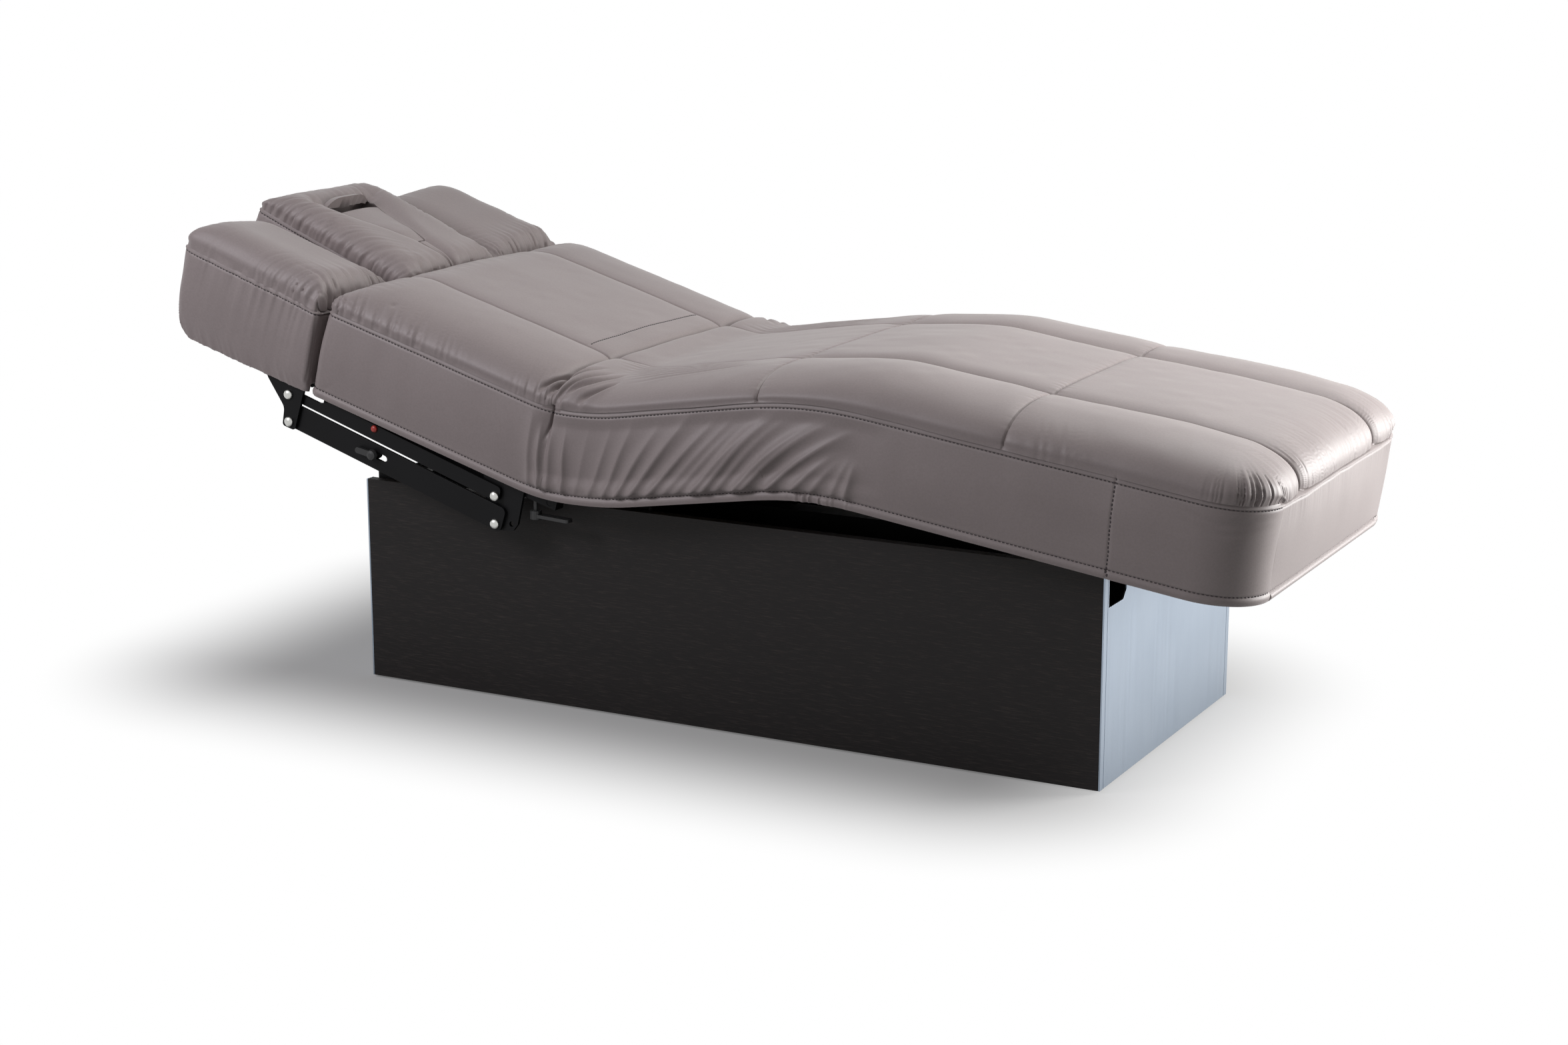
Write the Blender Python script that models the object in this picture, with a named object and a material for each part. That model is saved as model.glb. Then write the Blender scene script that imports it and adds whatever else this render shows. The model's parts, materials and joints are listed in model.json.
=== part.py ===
"""Electric spa treatment table: a box base with two lifting columns, a hinged frame
and a four-section mattress with lowering arm rests and a tilting head rest.
Metres, +Z up, head end at -X, foot end at +X. The origin is on the floor, under the middle."""

import math

import bmesh
import bpy
from mathutils import Vector

for old in list(bpy.data.objects):
    bpy.data.objects.remove(old, do_unlink=True)

# Fits
GAP = 0.0003            # between pieces that rest on each other
BORE_GAP = 0.0003       # round a pin, on the radius
PLAY = 0.0006           # between plates that turn past each other
TUBE_PLAY = 0.0006      # between the stages of a column

# Base box, narrower than the mattress
MATTRESS_HALF = 0.400
BASE_LENGTH = 1.44
BASE_SIDE_IN = 0.090    # from the side of the mattress to the side of the box
BASE_WIDTH = 2 * (MATTRESS_HALF - BASE_SIDE_IN)
BASE_HEIGHT = 0.376
BASE_X = 0.06           # middle of the box
PANEL_THICKNESS = 0.019
PANEL_LIFT = 0.004      # panel edge above the floor
PLATE_THICKNESS = 0.003
PLATE_EDGE = 0.0145     # width of the bright strip down each side of an end plate
PLATE_GROOVE = 0.0015
NOTCH_IN = 0.020        # from the side of the box to the notch
NOTCH_WIDTH = 0.077
NOTCH_DEPTH = 0.068
NOTCH_CHAMFER = 0.014
FLOOR_PLATE_Z = 0.010
FLOOR_PLATE_THICKNESS = 0.008
FOOT_RADIUS = 0.022
FOOT_STUD_RADIUS = 0.006
FOOT_INSET = 0.055

# Lifting columns
COLUMN_INSET = 0.18     # from the end of the box to a column's middle
COLUMN_LENGTH = 0.120
COLUMN_WIDTH = 0.160
COLUMN_WALL = 0.0045
COLUMN_CORNER = 0.012
COLUMN_STEP = 0.012     # each stage stands this much above the one round it
COLUMN_FLANGE = 0.0065
CONTROL_LENGTH = 0.200
CONTROL_WIDTH = 0.120
CONTROL_HEIGHT = 0.075
INLET_WIDTH = 0.028
INLET_HEIGHT = 0.021
INLET_DEPTH = 0.018

# Upper frame
FRAME_DROP = 0.044      # underside of the frame below the top of the box
FRAME_HEIGHT = 0.034
FRAME_Z = BASE_HEIGHT - FRAME_DROP
COLUMN_TOP = FRAME_Z - COLUMN_FLANGE - 2 * COLUMN_STEP - 0.0015
FRAME_CLEAR = 0.008     # to the panels and end plates
BEAM_IN = 0.090
BEAM_WIDTH = 0.040
BAR = 0.033             # width of a cross bar
STOP_WIDTH = 0.040
STOP_CLEAR = 0.002      # under the back board when it lies flat

# Hinge line of the sections
HINGE_RISE = 0.012      # above the top of the box
HINGE_Z = BASE_HEIGHT + HINGE_RISE
WAIST_X = -0.23
HIP_X = -0.10
THIGH_LENGTH = 0.380
BACK_LENGTH = 0.507
CALF_LENGTH = 0.770
BACK_ANGLE = math.radians(16.5)
THIGH_ANGLE = math.radians(8.9)
CALF_ANGLE = math.radians(7.8)
BACK_RANGE = math.radians(60.0)
THIGH_RANGE = math.radians(12.0)
BACK_SHAFT_RADIUS = 0.011
PIN_RADIUS = 0.006
THIGH_SHAFT_RADIUS = 0.008
BRACKET_THICKNESS = 0.010
EAR = 0.008             # wall round a bore

# Section frames and boards, measured from the hinge line
RAIL_LOW = -0.0095
RAIL_HIGH = 0.0132
RAIL_WIDTH = 0.025
RAIL_END = 0.014        # past the hinge line
BACK_RAIL_INSET = 0.035  # from the side of the mattress
BACK_RAIL_OUT = MATTRESS_HALF - BACK_RAIL_INSET
CALF_RAIL_OUT = BASE_WIDTH / 2 - NOTCH_IN - 0.45 * NOTCH_WIDTH
BOARD_THICKNESS = 0.018
BOARD_SIDE = 0.012      # from the side of the mattress
BOARD_HALF = MATTRESS_HALF - BOARD_SIDE
BOARD_INSET = 0.007     # from the end of the cushion
BACK_BOARD_START = 0.032
LEG_BOARD_START = 0.020
SEAT_BOARD_START = 0.028
BOARD_CORNER = 0.060

# Drive cams
CAM_RADIUS = 0.060      # height of the push rod under the hinge line
CAM_REACH = 0.086       # contact distance with the back flat
LEG_CAM_REACH = 0.050
CAM_THICKNESS = 0.016
CAM_GAP = 0.0004
CAM_SIDE = 0.050        # from the middle plane
CAM_STEPS = 12
ROD_RADIUS = 0.010
BACK_ROD_LENGTH = 0.220
LEG_ROD_LENGTH = 0.110
BACK_CASE = 0.186       # from the end of the rod at its furthest to the drive's tail
LEG_CASE = 0.128
TUBE_RADIUS = 0.018
GEAR_RADIUS = 0.029
TAIL_RADIUS = 0.012
ROLLER_RADIUS = 0.012
ROLLER_GAP = 0.0020
ROLLER_INSET = 0.0644   # from the end of the frame: there the foot section is as high as when it lies flat
AXLE_RADIUS = 0.005

# Mattress section
SEAM_HEIGHT = 0.170
CROWN = 0.069
SIDE_IN = 0.010         # how far the side draws in at its lower edge
CHANNEL_Y = 0.200
CHANNEL_DEPTH = 0.008
CHANNEL_HALF = 0.014
WEDGE_BACK = math.radians(47.5)
WEDGE_SEAT = math.radians(14.0)
WEDGE_HIP = math.radians(13.0)
WEDGE_FOOT = 0.014      # from the hinge line to the foot of a wedge face
FOOT_CORNER = 0.085
THIGH_CHANNEL_X = 0.315
CALF_CHANNEL_X = 0.334
WAIST_CREASE = 0.020

# Arm rests, in the frame of the back
LINK_LENGTH = 0.4593
LINK_SLOPE = math.radians(1.73)
PIVOT_X = -0.0885
PIVOT_Z = -0.0750
STRAP_X = -0.0133       # upper pivot from the lower one
STRAP_Z = 0.0482
LINK_THICKNESS = 0.006
LINK_LOW = 0.011
LINK_HIGH = 0.034
LINK_END = 0.014
STRAP_HALF = 0.0085
STRAP_HIGH = 0.0190     # upper edge above the pivots
STRAP_SHOULDER = 0.085  # from the far pivot to where the upper edge drops, clear of the lowered cushion
BOLT_RADIUS = 0.006
DOME_RADIUS = 0.009
DOME_HEIGHT = 0.007
PIVOT_PLATE = 0.006
ARM_IN = 0.165
ARM_LOW = 0.012
TRAY_THICKNESS = 0.006
ARM_NEAR = -0.524
ARM_FAR = -0.835
ARM_SEAM = 0.155
ARM_CROWN = 0.055
ARM_LEAN = 0.08         # of the cushion's ends
SLOT_LENGTH = 0.034
SLOT_HALF = 0.006
SLOT_ALONG = 0.262      # from the lower pivot to the middle of the slot
SLOT_UP = 0.015
RELEASE_TRAVEL = 0.014

# Head rest, hinged at the head end of the back
HEAD_PIVOT_X = -0.520
HEAD_TILT = math.radians(6.3)
HEAD_HALF = 0.150
HEAD_NEAR = -0.022
HEAD_LEAN = 0.22        # of the end by the back, so that the head rest clears it when raised
HEAD_FAR = -0.378
HEAD_SEAM = 0.164
HEAD_CROWN = 0.055
HEAD_BOARD = 0.015
HEAD_BOARD_HALF = 0.130
LUG = 0.015
HEAD_LUG_OUT = 0.085
SLOT_FAR = -0.300       # face slot, along the head rest
SLOT_NEAR = -0.262
SLOT_WIDE = 0.066
INSERT_TIP = -0.100
INSERT_TIP_HALF = 0.012
INSERT_SINK = 0.006
INSERT_PLAY = 0.002

# Flat clamp lever by the waist hinge
LEVER_X = -0.267
LEVER_Y = BACK_RAIL_OUT - 0.013
LEVER_Z = HINGE_Z - 0.036
LEVER_LENGTH = 0.078
LEVER_TURN = math.radians(8.0)
HUB_RADIUS = 0.0105
HUB_HEIGHT = 0.016
LEVER_THICKNESS = 0.006

ROUND = 16              # sides of a pin or a bore


def finish(name, colour, roughness, metallic):
    """A plain material for one kind of surface."""
    look = bpy.data.materials.new(name)
    look.use_nodes = True
    shader = look.node_tree.nodes["Principled BSDF"]
    shader.inputs["Base Color"].default_value = (*colour, 1.0)
    shader.inputs["Roughness"].default_value = roughness
    shader.inputs["Metallic"].default_value = metallic
    return look


LEATHER = finish("taupe_leather", (0.27, 0.25, 0.25), 0.5, 0.0)
WENGE = finish("wenge_board", (0.020, 0.018, 0.018), 0.6, 0.0)
ALUMINIUM = finish("satin_aluminium", (0.45, 0.50, 0.56), 0.35, 1.0)
BLACK_STEEL = finish("black_powder_coat", (0.012, 0.012, 0.013), 0.5, 0.2)
STEEL = finish("bright_steel", (0.55, 0.55, 0.56), 0.3, 1.0)
PLYWOOD = finish("plywood", (0.42, 0.30, 0.18), 0.7, 0.0)
PLASTIC = finish("black_plastic", (0.02, 0.02, 0.02), 0.6, 0.0)
FOAM = finish("foam", (0.27, 0.25, 0.25), 0.9, 0.0)


def pivot(name, place, turn, parent=None):
    """An empty on a hinge line, turned about Y, that carries the pieces of one section."""
    empty = bpy.data.objects.new(name, None)
    bpy.context.collection.objects.link(empty)
    empty.location = place
    empty.rotation_euler = (0.0, turn, 0.0)
    empty.parent = parent
    return empty


def piece(name, bm, look, parent=None):
    """Closes a bmesh as a named object."""
    bmesh.ops.recalc_face_normals(bm, faces=bm.faces)
    mesh = bpy.data.meshes.new(name)
    bm.to_mesh(mesh)
    bm.free()
    obj = bpy.data.objects.new(name, mesh)
    bpy.context.collection.objects.link(obj)
    mesh.materials.append(look)
    obj.parent = parent
    return obj


def combine(obj, other, operation="DIFFERENCE"):
    """Cuts another shape out of an object, or welds it on, and hides the other shape."""
    other.hide_render = True
    other.display_type = "WIRE"
    step = obj.modifiers.new(other.name, "BOOLEAN")
    step.operation = operation
    step.object = other
    return obj


def welded(name, bars, look, parent=None):
    """One closed body made of straight bars ((x0, x1), (y0, y1), (z0, z1)) that meet."""
    cuts = [sorted({round(v, 6) for bar in bars for v in bar[axis]}) for axis in range(3)]

    def filled(cell):
        if any(i < 0 or i >= len(cuts[a]) - 1 for a, i in enumerate(cell)):
            return False
        middle = [(cuts[a][i] + cuts[a][i + 1]) / 2 for a, i in enumerate(cell)]
        return any(all(lo < m < hi for m, (lo, hi) in zip(middle, bar)) for bar in bars)

    bm = bmesh.new()
    corners = {}

    def corner(*index):
        if index not in corners:
            corners[index] = bm.verts.new([cuts[a][i] for a, i in enumerate(index)])
        return corners[index]

    for i in range(len(cuts[0]) - 1):
        for j in range(len(cuts[1]) - 1):
            for k in range(len(cuts[2]) - 1):
                if not filled((i, j, k)):
                    continue
                for axis in range(3):
                    for side in (0, 1):
                        beside = [i, j, k]
                        beside[axis] += 2 * side - 1
                        if filled(beside):
                            continue
                        u, v = [a for a in range(3) if a != axis]
                        face = []
                        for du, dv in ((0, 0), (1, 0), (1, 1), (0, 1)):
                            at = [i, j, k]
                            at[axis] += side
                            at[u] += du
                            at[v] += dv
                            face.append(corner(*at))
                        bm.faces.new(face)
    return piece(name, bm, look, parent)


def skin(name, rings, look, parent=None, tube=False):
    """A body lofted through rings of points: capped at its ends, or closed on itself as a tube."""
    bm = bmesh.new()
    loops = [[bm.verts.new(point) for point in ring] for ring in rings]
    pairs = list(zip(loops, loops[1:]))
    if tube:
        pairs.append((loops[-1], loops[0]))
    for a, b in pairs:
        for i in range(len(a)):
            j = (i + 1) % len(a)
            bm.faces.new((a[i], a[j], b[j], b[i]))
    if not tube:
        bm.faces.new(loops[0][::-1])
        bm.faces.new(loops[-1])
    return piece(name, bm, look, parent)


def rounded(corners, radius, steps=4):
    """A polygon in a plane with its corners rounded. A corner (u, v, r) has its own radius."""
    points = []
    count = len(corners)
    for i, corner in enumerate(corners):
        r = corner[2] if len(corner) > 2 else radius
        here = Vector(corner[:2])
        to_last = (Vector(corners[i - 1][:2]) - here).normalized()
        to_next = (Vector(corners[(i + 1) % count][:2]) - here).normalized()
        if r <= 0.0:
            points.append(here)
            continue
        half = to_last.angle(to_next) / 2
        centre = here + (to_last + to_next).normalized() * (r / math.sin(half))
        start = here + to_last * (r / math.tan(half)) - centre
        end = here + to_next * (r / math.tan(half)) - centre
        turn = start.angle_signed(end)
        for s in range(steps + 1):
            a = -turn * s / steps
            points.append(centre + Vector((
                start.x * math.cos(a) - start.y * math.sin(a),
                start.x * math.sin(a) + start.y * math.cos(a))))
    return points


def plate(name, outline, low, high, look, parent=None, across="Y"):
    """A flat plate: an outline (u, v) given a thickness across X, Y or Z."""
    lay = {
        "X": lambda p, t: (t, p[0], p[1]),
        "Y": lambda p, t: (p[0], t, p[1]),
        "Z": lambda p, t: (p[0], p[1], t),
    }[across]
    return skin(name, [[lay(p, t) for p in outline] for t in (low, high)], look, parent)


def turned(name, profile, centre, along, look, parent=None, sides=ROUND):
    """A turned body: profile points (distance along the axis, radius) about X, Y or Z."""
    place = {
        "X": lambda t, a, b: (centre[0] + t, centre[1] + a, centre[2] + b),
        "Y": lambda t, a, b: (centre[0] + a, centre[1] + t, centre[2] + b),
        "Z": lambda t, a, b: (centre[0] + a, centre[1] + b, centre[2] + t),
    }[along]
    angles = [2 * math.pi * (i + 0.5) / sides for i in range(sides)]
    rings = [[place(t, r * math.cos(a), r * math.sin(a)) for a in angles] for t, r in profile]
    return skin(name, rings, look, parent)


def bore(obj, centre, radius, low, high, along="Y"):
    """A round hole through an object."""
    cutter = turned(f"{obj.name}_bore_{len(obj.modifiers)}", [(low, radius), (high, radius)],
                    centre, along, STEEL, obj.parent)
    return combine(obj, cutter)


def rectangle(size_x, size_y, centre, z, corner=COLUMN_CORNER):
    """A ring of points: an upright rectangle with rounded corners."""
    x, y = size_x / 2, size_y / 2
    outline = rounded([(-x, -y), (x, -y), (x, y), (-x, y)], corner, 2)
    return [(centre[0] + p[0], centre[1] + p[1], z) for p in outline]


SIDES = (("front", -1), ("rear", 1))
ENDS = (("head", -1), ("foot", 1))


def span(side, near, far):
    """The stretch of Y from near to far on one side of the middle plane."""
    return (near, far) if side > 0 else (-far, -near)


# Base box: two wood boards, two aluminium end plates, a floor plate on four feet
box_low = BASE_X - BASE_LENGTH / 2
box_high = BASE_X + BASE_LENGTH / 2
inside_low = box_low + PLATE_THICKNESS
inside_high = box_high - PLATE_THICKNESS
half_width = BASE_WIDTH / 2
inside_half = half_width - PANEL_THICKNESS
for name, side in SIDES:
    welded(f"side_panel_{name}", [((inside_low + GAP, inside_high - GAP),
                                   span(side, inside_half, half_width),
                                   (PANEL_LIFT, BASE_HEIGHT))], WENGE)
for name, end in ENDS:
    far = half_width - NOTCH_IN
    near = far - NOTCH_WIDTH
    low = BASE_HEIGHT - NOTCH_DEPTH
    half_outline = [(half_width, PANEL_LIFT), (half_width, BASE_HEIGHT), (far, BASE_HEIGHT), (far, low),
                    (near + NOTCH_CHAMFER, low), (near, low + NOTCH_CHAMFER), (near, BASE_HEIGHT)]
    outline = half_outline + [(-y, z) for y, z in reversed(half_outline)]
    outer = box_high if end > 0 else box_low
    inner = outer - end * PLATE_THICKNESS
    end_plate = plate(f"end_plate_{name}", outline, inner, outer, ALUMINIUM, across="X")
    for side_name, side in SIDES:
        groove = welded(f"end_plate_{name}_groove_{side_name}", [(
            tuple(sorted((outer - end * PLATE_GROOVE, outer + end * PLATE_GROOVE))),
            span(side, half_width - PLATE_EDGE - PLATE_GROOVE, half_width - PLATE_EDGE),
            (0.0, BASE_HEIGHT + PANEL_LIFT))], ALUMINIUM)
        combine(end_plate, groove)
floor_top = FLOOR_PLATE_Z + FLOOR_PLATE_THICKNESS
welded("floor_plate", [((inside_low + GAP, inside_high - GAP),
                        (-inside_half + GAP, inside_half - GAP),
                        (FLOOR_PLATE_Z, floor_top))], BLACK_STEEL)
for end_name, end in ENDS:
    for side_name, side in SIDES:
        corner = (BASE_X + end * (BASE_LENGTH / 2 - FOOT_INSET), side * (half_width - FOOT_INSET), 0.0)
        shoulder = FLOOR_PLATE_Z * 0.55
        turned(f"levelling_foot_{side_name}_{end_name}",
               [(0.0, FOOT_RADIUS - 0.002), (0.002, FOOT_RADIUS), (shoulder, FOOT_RADIUS),
                (shoulder, FOOT_STUD_RADIUS), (FLOOR_PLATE_Z - GAP, FOOT_STUD_RADIUS)],
               corner, "Z", PLASTIC)

# Lifting columns: three square tubes, one inside the other
stage = 2 * (COLUMN_WALL + TUBE_PLAY)
wall = 2 * COLUMN_WALL
column_out = BASE_LENGTH / 2 - COLUMN_INSET
for name, end in ENDS:
    centre = (BASE_X + end * column_out, 0.0)
    for number, part in enumerate(("outer", "mid")):
        size_x, size_y = (size - stage * number for size in (COLUMN_LENGTH, COLUMN_WIDTH))
        low = floor_top + GAP + COLUMN_STEP * number
        high = COLUMN_TOP + COLUMN_STEP * number
        skin(f"column_{part}_{name}", [
            rectangle(size_x, size_y, centre, low),
            rectangle(size_x, size_y, centre, high),
            rectangle(size_x - wall, size_y - wall, centre, high, COLUMN_CORNER - COLUMN_WALL),
            rectangle(size_x - wall, size_y - wall, centre, low, COLUMN_CORNER - COLUMN_WALL)], ALUMINIUM, tube=True)
    size_x, size_y = (size - 2 * stage for size in (COLUMN_LENGTH, COLUMN_WIDTH))
    flange_z = FRAME_Z - GAP - COLUMN_FLANGE
    low = floor_top + GAP + 2 * COLUMN_STEP
    skin(f"column_inner_{name}", [
        rectangle(size_x - wall, size_y - wall, centre, flange_z - COLUMN_WALL, COLUMN_CORNER - COLUMN_WALL),
        rectangle(size_x - wall, size_y - wall, centre, low, COLUMN_CORNER - COLUMN_WALL),
        rectangle(size_x, size_y, centre, low),
        rectangle(size_x, size_y, centre, flange_z),
        rectangle(COLUMN_LENGTH, COLUMN_WIDTH, centre, flange_z),
        rectangle(COLUMN_LENGTH, COLUMN_WIDTH, centre, flange_z + COLUMN_FLANGE)], ALUMINIUM)

# Control box on the floor plate, with its power inlet
box_x = BASE_X + BAR
box_z = floor_top + GAP
control_box = skin("control_box", [
    rectangle(CONTROL_LENGTH, CONTROL_WIDTH, (box_x, 0.0), box_z),
    rectangle(CONTROL_LENGTH, CONTROL_WIDTH, (box_x, 0.0), box_z + CONTROL_HEIGHT * 0.85),
    rectangle(CONTROL_LENGTH * 0.92, CONTROL_WIDTH * 0.86, (box_x, 0.0), box_z + CONTROL_HEIGHT)], PLASTIC)
inlet_x = box_x + CONTROL_LENGTH / 2
inlet_z = box_z + CONTROL_HEIGHT * 0.4
combine(control_box, welded("inlet_recess", [(
    (inlet_x - INLET_DEPTH, inlet_x + INLET_DEPTH), (-INLET_WIDTH / 2, INLET_WIDTH / 2),
    (inlet_z - INLET_HEIGHT / 2, inlet_z + INLET_HEIGHT / 2))], PLASTIC))

# Upper frame: two beams on the columns, cross bars, stops for the back and arms for the hinges
frame_top = FRAME_Z + FRAME_HEIGHT
frame_head = inside_low + FRAME_CLEAR - PLATE_THICKNESS
frame_foot = inside_high - FRAME_CLEAR
frame_half = inside_half - FRAME_CLEAR
beam_out = BEAM_IN + BEAM_WIDTH
hinge_middle = (WAIST_X + HIP_X) / 2
bracket_in = frame_half - BRACKET_THICKNESS - FRAME_CLEAR / 2
level = (FRAME_Z, frame_top)
calf_rail_in = CALF_RAIL_OUT - RAIL_WIDTH
knee_x = HIP_X + THIGH_LENGTH * math.cos(THIGH_ANGLE)
knee_z = HINGE_Z + THIGH_LENGTH * math.sin(THIGH_ANGLE)
roller_x = frame_foot - ROLLER_INSET
back_tail = WAIST_X + CAM_REACH + BACK_ROD_LENGTH + BACK_CASE
leg_tail = HIP_X - LEG_CAM_REACH - LEG_ROD_LENGTH - LEG_CASE
cross_half = (-beam_out, beam_out)
bars = [((frame_head, frame_foot), span(side, BEAM_IN, beam_out), level) for _, side in SIDES]
bars.append(((frame_head, frame_head + BAR), (-frame_half, frame_half), level))
for _, side in SIDES:
    bars.append(((frame_head, frame_head + BAR), span(side, frame_half - STOP_WIDTH, frame_half),
                 (FRAME_Z, HINGE_Z + RAIL_HIGH + GAP - STOP_CLEAR)))
    bars.append(((hinge_middle - BAR * 0.6, hinge_middle + BAR * 0.6),
                 span(side, BEAM_IN, bracket_in - GAP), level))
for _, end in ENDS:
    column_x = BASE_X + end * column_out
    bars.append(((column_x - BAR * 0.6, column_x + BAR * 0.6), cross_half, level))
bars.append(((frame_foot - BAR * 0.6, frame_foot), cross_half, level))
bars.append(((roller_x - BAR / 2, roller_x + BAR / 2),
             (-calf_rail_in + 2 * PLAY, calf_rail_in - 2 * PLAY), (FRAME_Z, frame_top + 0.006)))
for tail, side, way in ((back_tail, -1, 1), (leg_tail, 1, -1)):
    face = sorted((tail + way * GAP, tail + way * (GAP + BAR * 0.66)))
    bars.append((tuple(face), cross_half, level))
    lug_y = side * CAM_SIDE
    bars.append((tuple(face), (lug_y - TAIL_RADIUS, lug_y + TAIL_RADIUS),
                 (HINGE_Z - CAM_RADIUS - TAIL_RADIUS, frame_top)))
upper_frame = welded("upper_frame", bars, BLACK_STEEL)

# Roller that the foot section runs on
calf_line = knee_z - (roller_x - knee_x) * math.tan(CALF_ANGLE)
roller_z = calf_line - (ROLLER_RADIUS + ROLLER_GAP - RAIL_LOW) / math.cos(CALF_ANGLE)
axle_in = calf_rail_in - PLAY
roller = (roller_x, 0.0, roller_z)
turned("support_roller", [(-CALF_RAIL_OUT, ROLLER_RADIUS), (-calf_rail_in, ROLLER_RADIUS),
                          (-calf_rail_in, AXLE_RADIUS), (calf_rail_in, AXLE_RADIUS),
                          (calf_rail_in, ROLLER_RADIUS), (CALF_RAIL_OUT, ROLLER_RADIUS)],
       roller, "Y", PLASTIC)
bore(upper_frame, roller, AXLE_RADIUS + BORE_GAP, -axle_in - PLAY, axle_in + PLAY)

# Hinge brackets, bolted to the ends of the frame's arms, and the seat board on them
seat_low = HINGE_Z + RAIL_HIGH + GAP
bracket_top = seat_low - GAP
ear = BACK_SHAFT_RADIUS + EAR
for name, side in SIDES:
    outline = rounded([
        (WAIST_X - ear, HINGE_Z - ear), (WAIST_X - ear, HINGE_Z + ear, EAR),
        (WAIST_X + ear, HINGE_Z + ear, EAR), (WAIST_X + ear + 0.004, bracket_top, 0.0),
        (HIP_X - ear - 0.004, bracket_top, 0.0), (HIP_X - ear, HINGE_Z + ear, EAR),
        (HIP_X + ear, HINGE_Z + ear, EAR), (HIP_X + ear, HINGE_Z - ear),
        (hinge_middle + BAR, FRAME_Z + GAP), (hinge_middle - BAR, FRAME_Z + GAP)], 0.006)
    bracket = plate(f"hinge_bracket_{name}", outline, *span(side, bracket_in, bracket_in + BRACKET_THICKNESS),
                    BLACK_STEEL)
    for x, radius in ((WAIST_X, BACK_SHAFT_RADIUS), (HIP_X, THIGH_SHAFT_RADIUS)):
        bore(bracket, (x, side * bracket_in, HINGE_Z), radius + BORE_GAP, -2 * BRACKET_THICKNESS,
             2 * BRACKET_THICKNESS)
seat_start = WAIST_X + SEAT_BOARD_START
seat_end = HIP_X - SEAT_BOARD_START
seat_board = welded("seat_board", [((seat_start, seat_end), (-BOARD_HALF, BOARD_HALF),
                                    (seat_low, seat_low + BOARD_THICKNESS))], PLYWOOD)

# Section pivots
back_pivot = pivot("back_pivot", (WAIST_X, 0.0, HINGE_Z), BACK_ANGLE)
head_pivot = pivot("head_pivot", (HEAD_PIVOT_X, 0.0, 0.0), HEAD_TILT, back_pivot)
thigh_pivot = pivot("thigh_pivot", (HIP_X, 0.0, HINGE_Z), -THIGH_ANGLE)
calf_pivot = pivot("calf_pivot", (THIGH_LENGTH, 0.0, 0.0), THIGH_ANGLE + CALF_ANGLE, thigh_pivot)


def cam_outline(reach, rest_angle, whole_range, hub, way):
    """A cam whose flank is an involute, so that the push rod moves evenly with the angle."""
    flank = []
    for s in range(CAM_STEPS + 1):
        turn = -rest_angle + whole_range * s / CAM_STEPS
        arm = reach - CAM_RADIUS * (rest_angle + turn)
        flank.append((way * (arm * math.cos(turn) + CAM_RADIUS * math.sin(turn)),
                      arm * math.sin(turn) - CAM_RADIUS * math.cos(turn)))
    low_x, low_z = flank[0]
    toe = [(low_x - way * 0.012, low_z - 0.004)]
    start = math.radians(200)
    arc = [start - math.radians(220) * s / 10 for s in range(11)]
    round_hub = [(way * hub * math.cos(a), hub * math.sin(a)) for a in arc]
    return toe + round_hub + list(reversed(flank))


def shaft_with_cam(name, radius, profile, centre_y, outline, turn, place):
    """A turned shaft with its cam plate welded on. The cam is drawn level and turns with the shaft."""
    carrier = pivot(f"{name}_axis", place, 0.0)
    shaft = turned(name, profile, (0.0, 0.0, 0.0), "Y", STEEL, carrier)
    cam = plate(f"{name}_cam", outline, centre_y - CAM_THICKNESS / 2, centre_y + CAM_THICKNESS / 2,
                STEEL, carrier)
    return combine(shaft, cam, "UNION")


journal = bracket_in + BRACKET_THICKNESS + 0.0012
back_stub = BACK_RAIL_OUT - PLAY
shaft_with_cam("back_shaft", BACK_SHAFT_RADIUS,
               [(-back_stub, PIN_RADIUS), (-journal, PIN_RADIUS), (-journal, BACK_SHAFT_RADIUS),
                (journal, BACK_SHAFT_RADIUS), (journal, PIN_RADIUS), (back_stub, PIN_RADIUS)],
               -CAM_SIDE, cam_outline(CAM_REACH, BACK_ANGLE, BACK_RANGE, BACK_SHAFT_RADIUS + EAR, 1),
               BACK_ANGLE, (WAIST_X, 0.0, HINGE_Z))
shaft_with_cam("thigh_shaft", THIGH_SHAFT_RADIUS,
               [(-journal, THIGH_SHAFT_RADIUS), (journal, THIGH_SHAFT_RADIUS)],
               CAM_SIDE, cam_outline(LEG_CAM_REACH, THIGH_ANGLE, THIGH_RANGE, THIGH_SHAFT_RADIUS + EAR, -1),
               -THIGH_ANGLE, (HIP_X, 0.0, HINGE_Z))

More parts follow.
